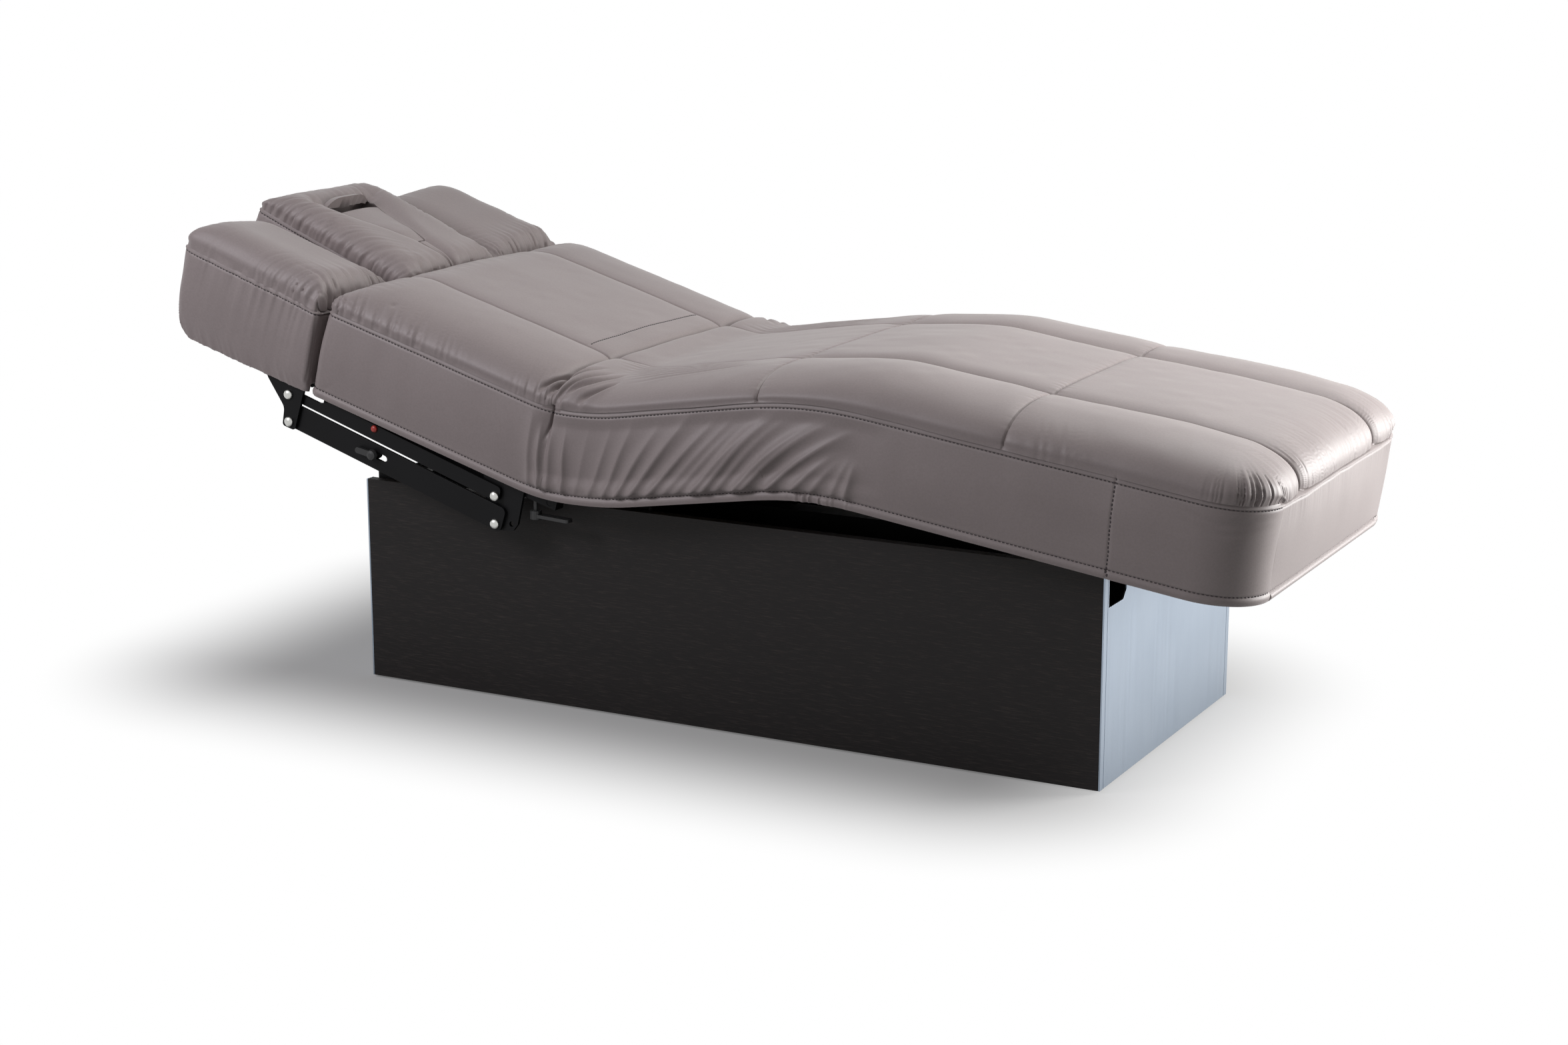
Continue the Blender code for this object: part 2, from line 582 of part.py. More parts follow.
# Linear drives: a push rod in a tube with a gear case, its tail against a lug of the frame
rod_z = HINGE_Z - CAM_RADIUS
for name, x, side, way, reach, rest, length, tail, depth in (
        ("back", WAIST_X, -1, 1, CAM_REACH, BACK_ANGLE, BACK_ROD_LENGTH, back_tail, 0.160),
        ("leg", HIP_X, 1, -1, LEG_CAM_REACH, THIGH_ANGLE, LEG_ROD_LENGTH, leg_tail, 0.075)):
    tip = x + way * (reach - CAM_RADIUS * rest + CAM_GAP)
    axis = (0.0, side * CAM_SIDE, rod_z)
    turned(f"{name}_push_rod", [(tip, ROD_RADIUS - 0.002), (tip + way * 0.002, ROD_RADIUS),
                                (tip + way * length, ROD_RADIUS)], axis, "X", STEEL)
    mouth = tip + way * (length - depth * 0.75)
    end_of_bore = tip + way * (length + CAM_RADIUS * rest + 0.006)
    case = end_of_bore + way * 0.004
    turned(f"{name}_actuator", [
        (end_of_bore, 0.004), (end_of_bore, ROD_RADIUS + BORE_GAP), (mouth, ROD_RADIUS + BORE_GAP),
        (mouth, TUBE_RADIUS), (case, TUBE_RADIUS), (case + way * 0.004, GEAR_RADIUS),
        (tail - way * 0.036, GEAR_RADIUS), (tail - way * 0.026, TAIL_RADIUS),
        (tail, TAIL_RADIUS)], axis, "X", PLASTIC)

# Frame and board of the back
back_rail_in = BACK_RAIL_OUT - RAIL_WIDTH
rail = (RAIL_LOW, RAIL_HIGH)
back_end = -BACK_LENGTH + 0.010
bars = [((back_end, RAIL_END), span(side, back_rail_in, BACK_RAIL_OUT), rail) for _, side in SIDES]
cross_count = 3
first_bar = back_end
last_bar = -0.105
for i in range(cross_count):
    x = first_bar + (last_bar - first_bar) * i / (cross_count - 1)
    bars.append(((x, x + RAIL_WIDTH), (-BACK_RAIL_OUT, BACK_RAIL_OUT), rail))
for _, side in SIDES:
    bars.append(((HEAD_PIVOT_X - PIN_RADIUS - EAR * 0.6, back_end + RAIL_WIDTH),
                 span(side, HEAD_LUG_OUT + PLAY, HEAD_LUG_OUT + PLAY + LUG), rail))
back_frame = welded("back_frame", bars, BLACK_STEEL, back_pivot)
bore(back_frame, (0.0, 0.0, 0.0), PIN_RADIUS + BORE_GAP, -BACK_RAIL_OUT - 0.01, BACK_RAIL_OUT + 0.01)
head_shaft_half = HEAD_LUG_OUT + PLAY + LUG
bore(back_frame, (HEAD_PIVOT_X, 0.0, 0.0), PIN_RADIUS + BORE_GAP, -head_shaft_half - 0.01,
     head_shaft_half + 0.01)
turned("head_shaft", [(-head_shaft_half, PIN_RADIUS), (head_shaft_half, PIN_RADIUS)],
       (HEAD_PIVOT_X, 0.0, 0.0), "Y", STEEL, back_pivot)
board_low = RAIL_HIGH + GAP
board_high = board_low + BOARD_THICKNESS
welded("back_board", [((-BACK_LENGTH + BOARD_INSET, -BACK_BOARD_START), (-BOARD_HALF, BOARD_HALF),
                       (board_low, board_high))], PLYWOOD, back_pivot)

# Frame and board of the thigh, with the knee pins
thigh_rail_out = calf_rail_in - PLAY
thigh_rail_in = thigh_rail_out - RAIL_WIDTH
bars = [((-RAIL_END, THIGH_LENGTH + RAIL_END), span(side, thigh_rail_in, thigh_rail_out), rail)
        for _, side in SIDES]
for share in (0.12, 0.52, 0.90):
    x = THIGH_LENGTH * share
    bars.append(((x - RAIL_WIDTH, x), (-thigh_rail_out, thigh_rail_out), rail))
thigh_frame = welded("thigh_frame", bars, BLACK_STEEL, thigh_pivot)
bore(thigh_frame, (0.0, 0.0, 0.0), THIGH_SHAFT_RADIUS + BORE_GAP, -CALF_RAIL_OUT, CALF_RAIL_OUT)
for name, side in SIDES:
    root, end_face, head_face = (side * y for y in (thigh_rail_out - RAIL_WIDTH / 2, CALF_RAIL_OUT + PLAY,
                                                    CALF_RAIL_OUT + PLAY + 0.003))
    pin = turned(f"knee_pin_{name}", [(root, PIN_RADIUS), (end_face, PIN_RADIUS),
                                      (end_face, PIN_RADIUS + 0.003), (head_face, PIN_RADIUS + 0.003)],
                 (THIGH_LENGTH, 0.0, 0.0), "Y", STEEL, thigh_pivot)
    combine(thigh_frame, pin, "UNION")
welded("thigh_board", [((LEG_BOARD_START, THIGH_LENGTH - LEG_BOARD_START), (-BOARD_HALF, BOARD_HALF),
                        (board_low, board_high))], PLYWOOD, thigh_pivot)

# Frame and board of the foot section
calf_frame_end = CALF_LENGTH * 0.81
bars = [((-RAIL_END, calf_frame_end), span(side, calf_rail_in, CALF_RAIL_OUT), rail) for _, side in SIDES]
for share in (0.12, 0.34, 0.57, 0.81):
    x = CALF_LENGTH * share
    bars.append(((x - RAIL_WIDTH, x), (-CALF_RAIL_OUT, CALF_RAIL_OUT), rail))
calf_frame = welded("calf_frame", bars, BLACK_STEEL, calf_pivot)
bore(calf_frame, (0.0, 0.0, 0.0), PIN_RADIUS + BORE_GAP, -CALF_RAIL_OUT - 0.01, CALF_RAIL_OUT + 0.01)
calf_board_end = CALF_LENGTH - 5 * BOARD_INSET
plate("calf_board", rounded([
    (LEG_BOARD_START, -BOARD_HALF, 0.0), (calf_board_end, -BOARD_HALF), (calf_board_end, BOARD_HALF),
    (LEG_BOARD_START, BOARD_HALF, 0.0)], BOARD_CORNER), board_low, board_high, PLYWOOD, calf_pivot, "Z")


def mattress_ring(x, lean=0.0, half=MATTRESS_HALF, crown=1.0, low=None):
    """A cross-section of the mattress: drawn-in sides, seam, crowned top with two sewn channels."""
    bottom = board_high + GAP if low is None else low
    rise = CROWN * crown
    squeeze = half / MATTRESS_HALF
    channel = CHANNEL_Y * squeeze
    side_points = [
        (half - SIDE_IN, bottom), (half, (bottom + SEAM_HEIGHT) / 2), (half - 0.004, SEAM_HEIGHT),
        (half - 0.030, SEAM_HEIGHT + 0.46 * rise), (half - 0.085, SEAM_HEIGHT + 0.76 * rise),
        (channel + CHANNEL_HALF, SEAM_HEIGHT + 0.92 * rise),
        (channel, SEAM_HEIGHT + 0.92 * rise - CHANNEL_DEPTH * crown),
        (channel - CHANNEL_HALF, SEAM_HEIGHT + 0.94 * rise),
        (channel / 2, SEAM_HEIGHT + rise)]
    outline = side_points + [(0.0, SEAM_HEIGHT + rise)] + [(-y, h) for y, h in reversed(side_points)]
    return [(x + h * math.tan(lean), y, h) for y, h in outline]


def in_world(rings, carrier):
    """Rings of a section's own frame, moved to where the section stands."""
    bpy.context.view_layer.update()
    return [[carrier.matrix_world @ Vector(p) for p in ring] for ring in rings]


# Back cushion: crowned, closed at the head end, cut back at the waist where the foam folds
back_face = mattress_ring(-WEDGE_FOOT, -WEDGE_BACK)
head_end = (-BACK_LENGTH, 0.10), (-BACK_LENGTH + 0.006, 0.45), (-BACK_LENGTH + 0.020, 0.80)
skin("back_cushion",
     [mattress_ring(x, crown=c) for x, c in head_end]
     + [mattress_ring(-BACK_LENGTH + 0.055), back_face], LEATHER, back_pivot)

# Seat cushion between the two hinges
seat_pivot = pivot("seat_pivot", (WAIST_X, 0.0, HINGE_Z), 0.0)
hip = HIP_X - WAIST_X
seat_face = mattress_ring(WEDGE_FOOT, WEDGE_SEAT)
seat_hip_face = mattress_ring(hip - WEDGE_FOOT / 2)
skin("seat_cushion", [seat_face, seat_hip_face], LEATHER, seat_pivot)

# Waist foam: the soft fold between back and seat, with its crease across the middle
wedge_low = board_high + 4 * GAP
left = in_world([mattress_ring(-WEDGE_FOOT + 2 * GAP, -WEDGE_BACK, low=wedge_low)], back_pivot)[0]
right = in_world([mattress_ring(WEDGE_FOOT - 2 * GAP, WEDGE_SEAT, low=wedge_low)], seat_pivot)[0]


def between(a, b, share, dip=0.0):
    """A ring part of the way from one ring to another, its top dipped into a crease."""
    middle = [p.lerp(q, share) for p, q in zip(a, b)]
    floor = min(p.z for p in middle)
    top = max(p.z for p in middle)
    return [Vector((p.x, p.y, p.z - dip * max(0.0, (p.z - floor) / (top - floor) - 0.4))) for p in middle]


skin("waist_foam", [left, between(left, right, 0.3, 0.3 * WAIST_CREASE),
                    between(left, right, 0.62, WAIST_CREASE), between(left, right, 0.72, WAIST_CREASE),
                    right], FOAM)

# Hip foam: the thin wedge between seat and thigh
thigh_face = mattress_ring(WEDGE_FOOT / 2, WEDGE_HIP)
skin("hip_foam", [
    in_world([mattress_ring(hip - WEDGE_FOOT / 2 + 2 * GAP, low=wedge_low)], seat_pivot)[0],
    in_world([mattress_ring(WEDGE_FOOT / 2 - 2 * GAP, WEDGE_HIP, low=wedge_low)], thigh_pivot)[0]], FOAM)

# Thigh cushion with its cross channel near the knee
knee_gap = WEDGE_FOOT / 2
dip = 1 - CHANNEL_DEPTH / CROWN
skin("thigh_cushion",
     [thigh_face, mattress_ring(THIGH_CHANNEL_X - CHANNEL_HALF), mattress_ring(THIGH_CHANNEL_X, crown=dip),
      mattress_ring(THIGH_CHANNEL_X + CHANNEL_HALF), mattress_ring(THIGH_LENGTH - knee_gap)],
     LEATHER, thigh_pivot)

# Knee foam: fills the wedge that opens as the knee rises
skin("knee_foam", [
    in_world([mattress_ring(THIGH_LENGTH - knee_gap + 2 * GAP, low=wedge_low)], thigh_pivot)[0],
    in_world([mattress_ring(knee_gap - 2 * GAP, low=wedge_low)], calf_pivot)[0]], FOAM)

# Foot section cushion: cross channel, then a rounded foot end
rings = [mattress_ring(knee_gap), mattress_ring(CALF_CHANNEL_X - CHANNEL_HALF),
         mattress_ring(CALF_CHANNEL_X, crown=dip), mattress_ring(CALF_CHANNEL_X + CHANNEL_HALF)]
for degrees in (0, 25, 50, 70, 85):
    turn = math.radians(degrees)
    along = CALF_LENGTH - FOOT_CORNER * (1 - math.sin(turn))
    rings.append(mattress_ring(along, half=MATTRESS_HALF - FOOT_CORNER * (1 - math.cos(turn)),
                               crown=max(0.06, math.cos(turn) ** 0.6)))
skin("calf_cushion", rings, LEATHER, calf_pivot)


# Head rest: board with hinge lugs, cushion with a tapered opening, loose insert
def pad_ring(x, near, far, low, seam, rise, end=1.0, pull=0.0):
    """A cross-section of a small pad between near and far in Y, with drawn-in sides and a crown."""
    middle, half = (near + far) / 2, (far - near) / 2 - pull
    points = [(half - 0.008, low), (half, (low + seam) / 2), (half - 0.003, seam),
              (half - 0.024, seam + 0.58 * rise * end), (half * 0.55, seam + 0.92 * rise * end)]
    outline = points + [(0.0, seam + rise * end)] + [(-y, h) for y, h in reversed(points)]
    return [(x, middle + y, h) for y, h in outline]


def pad(name, ends, near, far, low, seam, rise, look, parent, leans=(0.0, 0.0), swell=0.0):
    """A crowned pad lofted along X with soft ends that lean back, and thicker by swell at its first end."""
    x0, x1 = ends
    way = 1 if x1 > x0 else -1
    rings = []
    for inset, crown, pull in ((0.0, 0.20, 0.008), (0.008, 0.68, 0.002), (0.030, 0.94, 0.0), (0.075, 1.0, 0.0)):
        rings.append(pad_ring(x0 + way * inset, near, far, low, seam, rise, crown, pull))
    for inset, crown, pull in ((0.075, 1.0, 0.0), (0.030, 0.94, 0.0), (0.008, 0.68, 0.002), (0.0, 0.20, 0.008)):
        rings.append(pad_ring(x1 - way * inset, near, far, low, seam, rise, crown, pull))
    bent = []
    for ring in rings:
        share = (ring[0][0] - x1) / (x0 - x1)
        grow = 1 + swell * share
        lean = leans[1] + (leans[0] - leans[1]) * share
        bent.append([(x - lean * (h - low), y, low + (h - low) * grow) for x, y, h in ring])
    return skin(name, bent, look, parent)


head_low = board_low
head_board_top = head_low + HEAD_BOARD
head_board_far = HEAD_FAR + 0.030
bars = [((head_board_far, HEAD_NEAR - 0.004), (-HEAD_BOARD_HALF, HEAD_BOARD_HALF), (head_low, head_board_top))]
for _, side in SIDES:
    bars.append(((HEAD_NEAR - 0.032, PIN_RADIUS + EAR * 0.6), span(side, HEAD_LUG_OUT - LUG, HEAD_LUG_OUT),
                 (RAIL_LOW, head_board_top)))
head_board = welded("head_board", bars, PLYWOOD, head_pivot)
bore(head_board, (0.0, 0.0, 0.0), PIN_RADIUS + BORE_GAP, -HEAD_LUG_OUT - 0.01, HEAD_LUG_OUT + 0.01)
slot = [(SLOT_FAR, -SLOT_WIDE), (SLOT_NEAR, -SLOT_WIDE + 0.004), (SLOT_NEAR, SLOT_WIDE - 0.004),
        (SLOT_FAR, SLOT_WIDE)]
combine(head_board, plate("face_slot_cutter", rounded(slot, 0.010), head_low - 0.01, head_board_top + 0.01,
                          PLYWOOD, head_pivot, "Z"))
head_cushion = pad("head_cushion", (HEAD_FAR, HEAD_NEAR), -HEAD_HALF, HEAD_HALF, head_board_top + GAP,
                   HEAD_SEAM, HEAD_CROWN, LEATHER, head_pivot, leans=(0.0, HEAD_LEAN))


def tapered(grow, far):
    """Outline of the opening for the insert: wide at the face slot, narrow by the back."""
    share = (far - INSERT_TIP) / (SLOT_FAR - INSERT_TIP)
    wide = INSERT_TIP_HALF + (SLOT_WIDE - INSERT_TIP_HALF) * share
    return rounded([(far, -wide - grow), (INSERT_TIP + grow, -INSERT_TIP_HALF - grow),
                    (INSERT_TIP + grow, INSERT_TIP_HALF + grow), (far, wide + grow)], 0.008)


high = HEAD_SEAM + HEAD_CROWN + 0.02
combine(head_cushion, plate("insert_cutter", tapered(0.0, SLOT_FAR), head_board_top - 0.01, high, LEATHER,
                            head_pivot, "Z"))
insert = pad("face_insert", (HEAD_FAR, HEAD_NEAR), -HEAD_HALF, HEAD_HALF, head_board_top + GAP,
             HEAD_SEAM - INSERT_SINK, HEAD_CROWN, LEATHER, head_pivot, leans=(0.0, HEAD_LEAN))
combine(insert, plate("insert_outline", tapered(-INSERT_PLAY, SLOT_NEAR), head_board_top - 0.01, high, LEATHER,
                      head_pivot, "Z"), "INTERSECT")

# Arm rests: a link and a strap from the back's pivot plate to a bracket, which stays parallel to the back
toward = Vector((-math.cos(LINK_SLOPE), 0.0, math.sin(LINK_SLOPE)))
upward = Vector((math.sin(LINK_SLOPE), 0.0, math.cos(LINK_SLOPE)))
lower_pivot = Vector((PIVOT_X, 0.0, PIVOT_Z))
strap_offset = Vector((STRAP_X, 0.0, STRAP_Z))
upper_pivot = lower_pivot + strap_offset
lower_end = lower_pivot + toward * LINK_LENGTH
upper_end = lower_end + strap_offset
plate_out = BACK_RAIL_OUT + GAP + PIVOT_PLATE
link_in = plate_out + PLAY
link_out = link_in + LINK_THICKNESS
bracket_near = link_out + PLAY
bracket_far = bracket_near + LINK_THICKNESS


def flat(point):
    return (point.x, point.z)


def along_link(start, a, b):
    return flat(start + toward * a + upward * b)


def dome_bolt(name, centre, side, root, grip):
    """A dome-headed bolt: shank from root to grip, head outside."""
    dome = [(side * (grip + DOME_HEIGHT * math.sin(t)), DOME_RADIUS * math.cos(t))
            for t in (math.radians(d) for d in (0, 30, 55, 78))]
    return turned(name, [(side * root, BOLT_RADIUS), (side * grip, BOLT_RADIUS)] + dome,
                  (centre.x, 0.0, centre.z), "Y", STEEL, back_pivot)


for name, side in SIDES:
    eye = lower_pivot + Vector((0.031, 0.0, 0.010))
    pivot_plate = plate(f"pivot_plate_{name}", rounded([
        (upper_pivot.x - 0.040, RAIL_HIGH - 0.002), (eye.x + 0.006, RAIL_HIGH - 0.002),
        (eye.x + 0.010, eye.z + 0.004), (eye.x + 0.004, eye.z - 0.011),
        (lower_pivot.x - 0.002, lower_pivot.z - 0.014), (lower_pivot.x - 0.018, lower_pivot.z - 0.006)], 0.006),
        *span(side, BACK_RAIL_OUT + GAP, plate_out), BLACK_STEEL, back_pivot)
    bore(pivot_plate, (eye.x - 0.002, side * plate_out, eye.z), 0.005, -0.02, 0.02)
    for number, place in enumerate((lower_pivot, upper_pivot)):
        bolt = dome_bolt(f"pivot_bolt_{name}_{number}", place, side, plate_out - PIVOT_PLATE / 2,
                         link_out + GAP)
        combine(pivot_plate, bolt, "UNION")

    lower = plate(f"arm_link_{name}", rounded([
        along_link(lower_pivot, -LINK_END, -LINK_LOW), along_link(lower_pivot, -LINK_END, LINK_HIGH),
        along_link(lower_pivot, LINK_LENGTH + LINK_END, LINK_HIGH),
        along_link(lower_pivot, LINK_LENGTH + LINK_END, -LINK_LOW)], 0.010),
        *span(side, link_in, link_out), BLACK_STEEL, back_pivot)
    for place in (lower_pivot, lower_end):
        bore(lower, (place.x, side * link_in, place.z), BOLT_RADIUS + BORE_GAP, -0.02, 0.02)
    slot_half = SLOT_LENGTH / 2
    slot_cut = plate(f"lever_slot_{name}", rounded([
        along_link(lower_pivot, SLOT_ALONG - slot_half, SLOT_UP - SLOT_HALF),
        along_link(lower_pivot, SLOT_ALONG - slot_half, SLOT_UP + SLOT_HALF),
        along_link(lower_pivot, SLOT_ALONG + slot_half, SLOT_UP + SLOT_HALF),
        along_link(lower_pivot, SLOT_ALONG + slot_half, SLOT_UP - SLOT_HALF)], SLOT_HALF * 0.95),
        *span(side, link_in - 0.01, link_out + 0.01), BLACK_STEEL, back_pivot)
    combine(lower, slot_cut)

    strap = plate(f"arm_strap_{name}", rounded([
        along_link(upper_pivot, -STRAP_HALF, -STRAP_HALF), along_link(upper_pivot, -STRAP_HALF, STRAP_HIGH),
        along_link(upper_pivot, LINK_LENGTH - STRAP_SHOULDER, STRAP_HIGH),
        along_link(upper_pivot, LINK_LENGTH - STRAP_SHOULDER + 2 * (STRAP_HIGH - STRAP_HALF), STRAP_HALF),
        along_link(upper_pivot, LINK_LENGTH + STRAP_HALF, STRAP_HALF),
        along_link(upper_pivot, LINK_LENGTH + STRAP_HALF, -STRAP_HALF)], STRAP_HALF * 0.95),
        *span(side, link_in, link_out), BLACK_STEEL, back_pivot)
    for place in (upper_pivot, upper_end):
        bore(strap, (place.x, side * link_in, place.z), BOLT_RADIUS + BORE_GAP, -0.02, 0.02)

    lever_at = lower_pivot + toward * (SLOT_ALONG + slot_half - SLOT_HALF) + upward * SLOT_UP
    shank = SLOT_HALF - 2 * BORE_GAP
    lever = turned(f"release_lever_{name}", [
        (side * (BACK_RAIL_OUT + PLAY), 0.0095), (side * (link_in - PLAY), 0.0095),
        (side * (link_in - PLAY), shank), (side * (link_out + PLAY), shank),
        (side * (link_out + PLAY), 0.0085), (side * (link_out + 0.007), 0.0105),
        (side * (link_out + 0.012), 0.0085), (side * (link_out + 0.0135), 0.004)],
        (lever_at.x, 0.0, lever_at.z), "Y", PLASTIC, back_pivot)
    paddle = plate(f"release_paddle_{name}", rounded([
        along_link(lever_at, -0.004, -0.005), along_link(lever_at, -0.004, 0.006),
        along_link(lever_at, 0.036, 0.001), along_link(lever_at, 0.036, -0.010)], 0.005),
        *span(side, link_out + 2 * PLAY, link_out + 0.009), PLASTIC, back_pivot)
    combine(lever, paddle, "UNION")

    tray_top = ARM_LOW + TRAY_THICKNESS
    hook = upper_end.x - 0.020
    tray = welded(f"arm_bracket_{name}", [
        ((ARM_FAR + 0.035, hook), span(side, ARM_IN + 0.025, bracket_far), (ARM_LOW, tray_top)),
        ((hook, ARM_NEAR - 0.001), span(side, ARM_IN + 0.025, link_in - 4 * PLAY), (ARM_LOW, tray_top))],
        BLACK_STEEL, back_pivot)
    hanger = plate(f"arm_hanger_{name}", rounded([
        (hook - 0.045, tray_top - 0.001), (lower_end.x + 0.017, tray_top - 0.001),
        (lower_end.x + 0.015, lower_end.z - 0.012), (lower_end.x - 0.013, lower_end.z - 0.012),
        (lower_end.x - 0.017, lower_end.z + 0.022, 0.020), (hook - 0.030, ARM_LOW - 0.012, 0.020)], 0.006),
        *span(side, bracket_near, bracket_far - 0.0002), BLACK_STEEL, back_pivot)
    combine(tray, hanger, "UNION")
    for number, place in enumerate((lower_end, upper_end)):
        bolt = dome_bolt(f"bracket_bolt_{name}_{number}", place, side, link_in + GAP,
                         bracket_far - LINK_THICKNESS / 4)
        combine(tray, bolt, "UNION")
    pad(f"arm_cushion_{name}", (ARM_FAR, ARM_NEAR), *span(side, ARM_IN, MATTRESS_HALF), tray_top + GAP,
        ARM_SEAM, ARM_CROWN, LEATHER, back_pivot, leans=(ARM_LEAN, ARM_LEAN), swell=0.07)

    # Flat clamp lever on a short pin under the back's rail
    hub = (LEVER_X, side * LEVER_Y, LEVER_Z)
    rail_under = HINGE_Z + (WAIST_X - LEVER_X - 0.005) * math.tan(BACK_ANGLE) + RAIL_LOW / math.cos(BACK_ANGLE)
    clamp = turned(f"clamp_lever_{name}", [
        (0.0, HUB_RADIUS - 0.001), (0.001, HUB_RADIUS), (HUB_HEIGHT, HUB_RADIUS), (HUB_HEIGHT, 0.004),
        (rail_under - LEVER_Z - GAP, 0.004)], hub, "Z", PLASTIC)
    swing = Vector((math.cos(LEVER_TURN), side * math.sin(LEVER_TURN)))
    aside = Vector((-swing.y, swing.x))
    base = Vector(hub[:2])
    handle = plate(f"clamp_handle_{name}", rounded([
        base - aside * 0.007, base + aside * 0.007, base + swing * LEVER_LENGTH + aside * 0.009,
        base + swing * LEVER_LENGTH - aside * 0.009], 0.005),
        LEVER_Z + 0.004, LEVER_Z + 0.004 + LEVER_THICKNESS, PLASTIC, None, "Z")
    combine(clamp, handle, "UNION")

for obj in bpy.data.objects:
    if obj.type == "MESH":
        obj.data.shade_smooth()
        obj.data.set_sharp_from_angle(angle=math.radians(35))
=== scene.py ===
"""Looks of an electric spa treatment table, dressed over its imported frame.
Metres, +Z up, head end at -X, foot end at +X."""

import json
import math

import bmesh
import bpy
import numpy as np
from mathutils import Matrix, Vector


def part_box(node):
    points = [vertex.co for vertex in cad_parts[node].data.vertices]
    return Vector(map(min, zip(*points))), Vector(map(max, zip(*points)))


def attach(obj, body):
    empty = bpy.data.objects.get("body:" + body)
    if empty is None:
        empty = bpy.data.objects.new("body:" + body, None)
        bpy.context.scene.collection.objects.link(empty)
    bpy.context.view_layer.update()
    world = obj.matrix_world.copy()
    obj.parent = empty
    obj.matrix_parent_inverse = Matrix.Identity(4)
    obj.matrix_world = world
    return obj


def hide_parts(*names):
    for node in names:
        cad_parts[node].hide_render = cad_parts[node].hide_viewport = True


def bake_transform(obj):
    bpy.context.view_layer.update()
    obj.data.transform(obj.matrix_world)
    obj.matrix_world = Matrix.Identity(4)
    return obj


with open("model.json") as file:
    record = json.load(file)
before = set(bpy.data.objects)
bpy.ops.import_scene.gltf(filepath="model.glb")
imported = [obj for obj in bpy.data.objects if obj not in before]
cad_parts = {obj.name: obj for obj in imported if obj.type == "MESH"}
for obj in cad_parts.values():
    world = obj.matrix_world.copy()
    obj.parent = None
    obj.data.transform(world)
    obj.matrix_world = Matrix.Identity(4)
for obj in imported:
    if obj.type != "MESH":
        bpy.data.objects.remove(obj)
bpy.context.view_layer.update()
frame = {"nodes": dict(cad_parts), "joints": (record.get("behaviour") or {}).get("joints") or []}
joints = {joint["name"]: joint for joint in frame["joints"]}


# Side panels: two boards faced with dark wenge veneer, standing between the end plates.
# The veneer is oiled and matt; its grain lies level and shows as fine pale flecks.
def linear(code):
    """An sRGB hex colour as linear RGBA."""
    parts = [int(code[i:i + 2], 16) / 255 for i in (1, 3, 5)]
    return [c / 12.92 if c <= 0.04045 else ((c + 0.055) / 1.055) ** 2.4 for c in parts] + [1.0]


def set_inputs(tree, node, inputs):
    """Sets inputs of a shader node, each to a value or to another node's output."""
    for name, value in inputs.items():
        if isinstance(value, bpy.types.NodeSocket):
            tree.links.new(value, node.inputs[name])
        else:
            node.inputs[name].default_value = value


def add_node(tree, kind, inputs=None, **settings):
    """Adds one shader node with its settings and inputs. A colour mix has its colours at inputs 6 and 7."""
    made = tree.nodes.new("ShaderNode" + kind)
    for name, value in settings.items():
        setattr(made, name, value)
    set_inputs(tree, made, inputs or {})
    return made


def new_material(name):
    """An empty Principled material: its node tree, shader and object coordinates."""
    material = bpy.data.materials.new(name)
    material.use_nodes = True
    tree = material.node_tree
    shader = tree.nodes["Principled BSDF"]
    place = add_node(tree, "TexCoord").outputs["Object"]
    return material, tree, shader, place


def dress(material, *nodes):
    """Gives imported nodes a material."""
    for name in nodes:
        mesh = frame["nodes"][name].data
        mesh.materials.clear()
        mesh.materials.append(material)


def break_edges(width, *nodes):
    """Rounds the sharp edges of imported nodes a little, as a file or a coat of paint does."""
    for name in nodes:
        weld = frame["nodes"][name].modifiers.new("weld", "WELD")
        weld.merge_threshold = 1e-5
        bevel = frame["nodes"][name].modifiers.new("edge", "BEVEL")
        bevel.width = width
        bevel.segments = 2
        bevel.limit_method = "ANGLE"
        bevel.angle_limit = math.radians(40)
        bevel.harden_normals = True


def wenge_veneer():
    """Wenge veneer: nearly black brown, with pale pores drawn out along the grain. The pores are drawn
    five times as thick as the real 0.3 mm, so that they show."""
    material, tree, shader, place = new_material("wenge_veneer")
    pore_long, pore_thick, figure_long, figure_wide = 0.030, 0.0016, 1.25, 0.045
    pores = add_node(tree, "Mapping", {"Vector": place,
                                       "Scale": (1 / pore_long, 1 / pore_thick, 1 / pore_thick)})
    flecks = add_node(tree, "TexNoise", {"Vector": pores.outputs[0], "Scale": 1.0, "Detail": 3.0,
                                         "Roughness": 0.6})
    bands = add_node(tree, "Mapping", {"Vector": place,
                                       "Scale": (1 / figure_long, 1 / figure_wide, 1 / figure_wide)})
    drift = add_node(tree, "TexNoise", {"Vector": bands.outputs[0], "Scale": 1.0, "Detail": 2.0})
    bright = add_node(tree, "MapRange", {"Value": flecks.outputs["Fac"], "From Min": 0.52, "From Max": 0.78})
    tone = add_node(tree, "Mix", {0: drift.outputs["Fac"], 6: linear("#161414"), 7: linear("#201d1d")},
                    data_type="RGBA")
    colour = add_node(tree, "Mix", {0: bright.outputs[0], 6: tone.outputs[2], 7: linear("#3b3634")},
                      data_type="RGBA")
    gloss = add_node(tree, "MapRange", {"Value": flecks.outputs["Fac"], "To Min": 0.46, "To Max": 0.62})
    relief = add_node(tree, "Bump", {"Height": flecks.outputs["Fac"], "Strength": 0.25, "Distance": 0.0004})
    set_inputs(tree, shader, {"Base Color": colour.outputs[2], "Roughness": gloss.outputs[0],
                              "Normal": relief.outputs[0], "Specular IOR Level": 0.2})
    return material


dress(wenge_veneer(), "side_panel_front", "side_panel_rear")
break_edges(0.0008, "side_panel_front", "side_panel_rear")


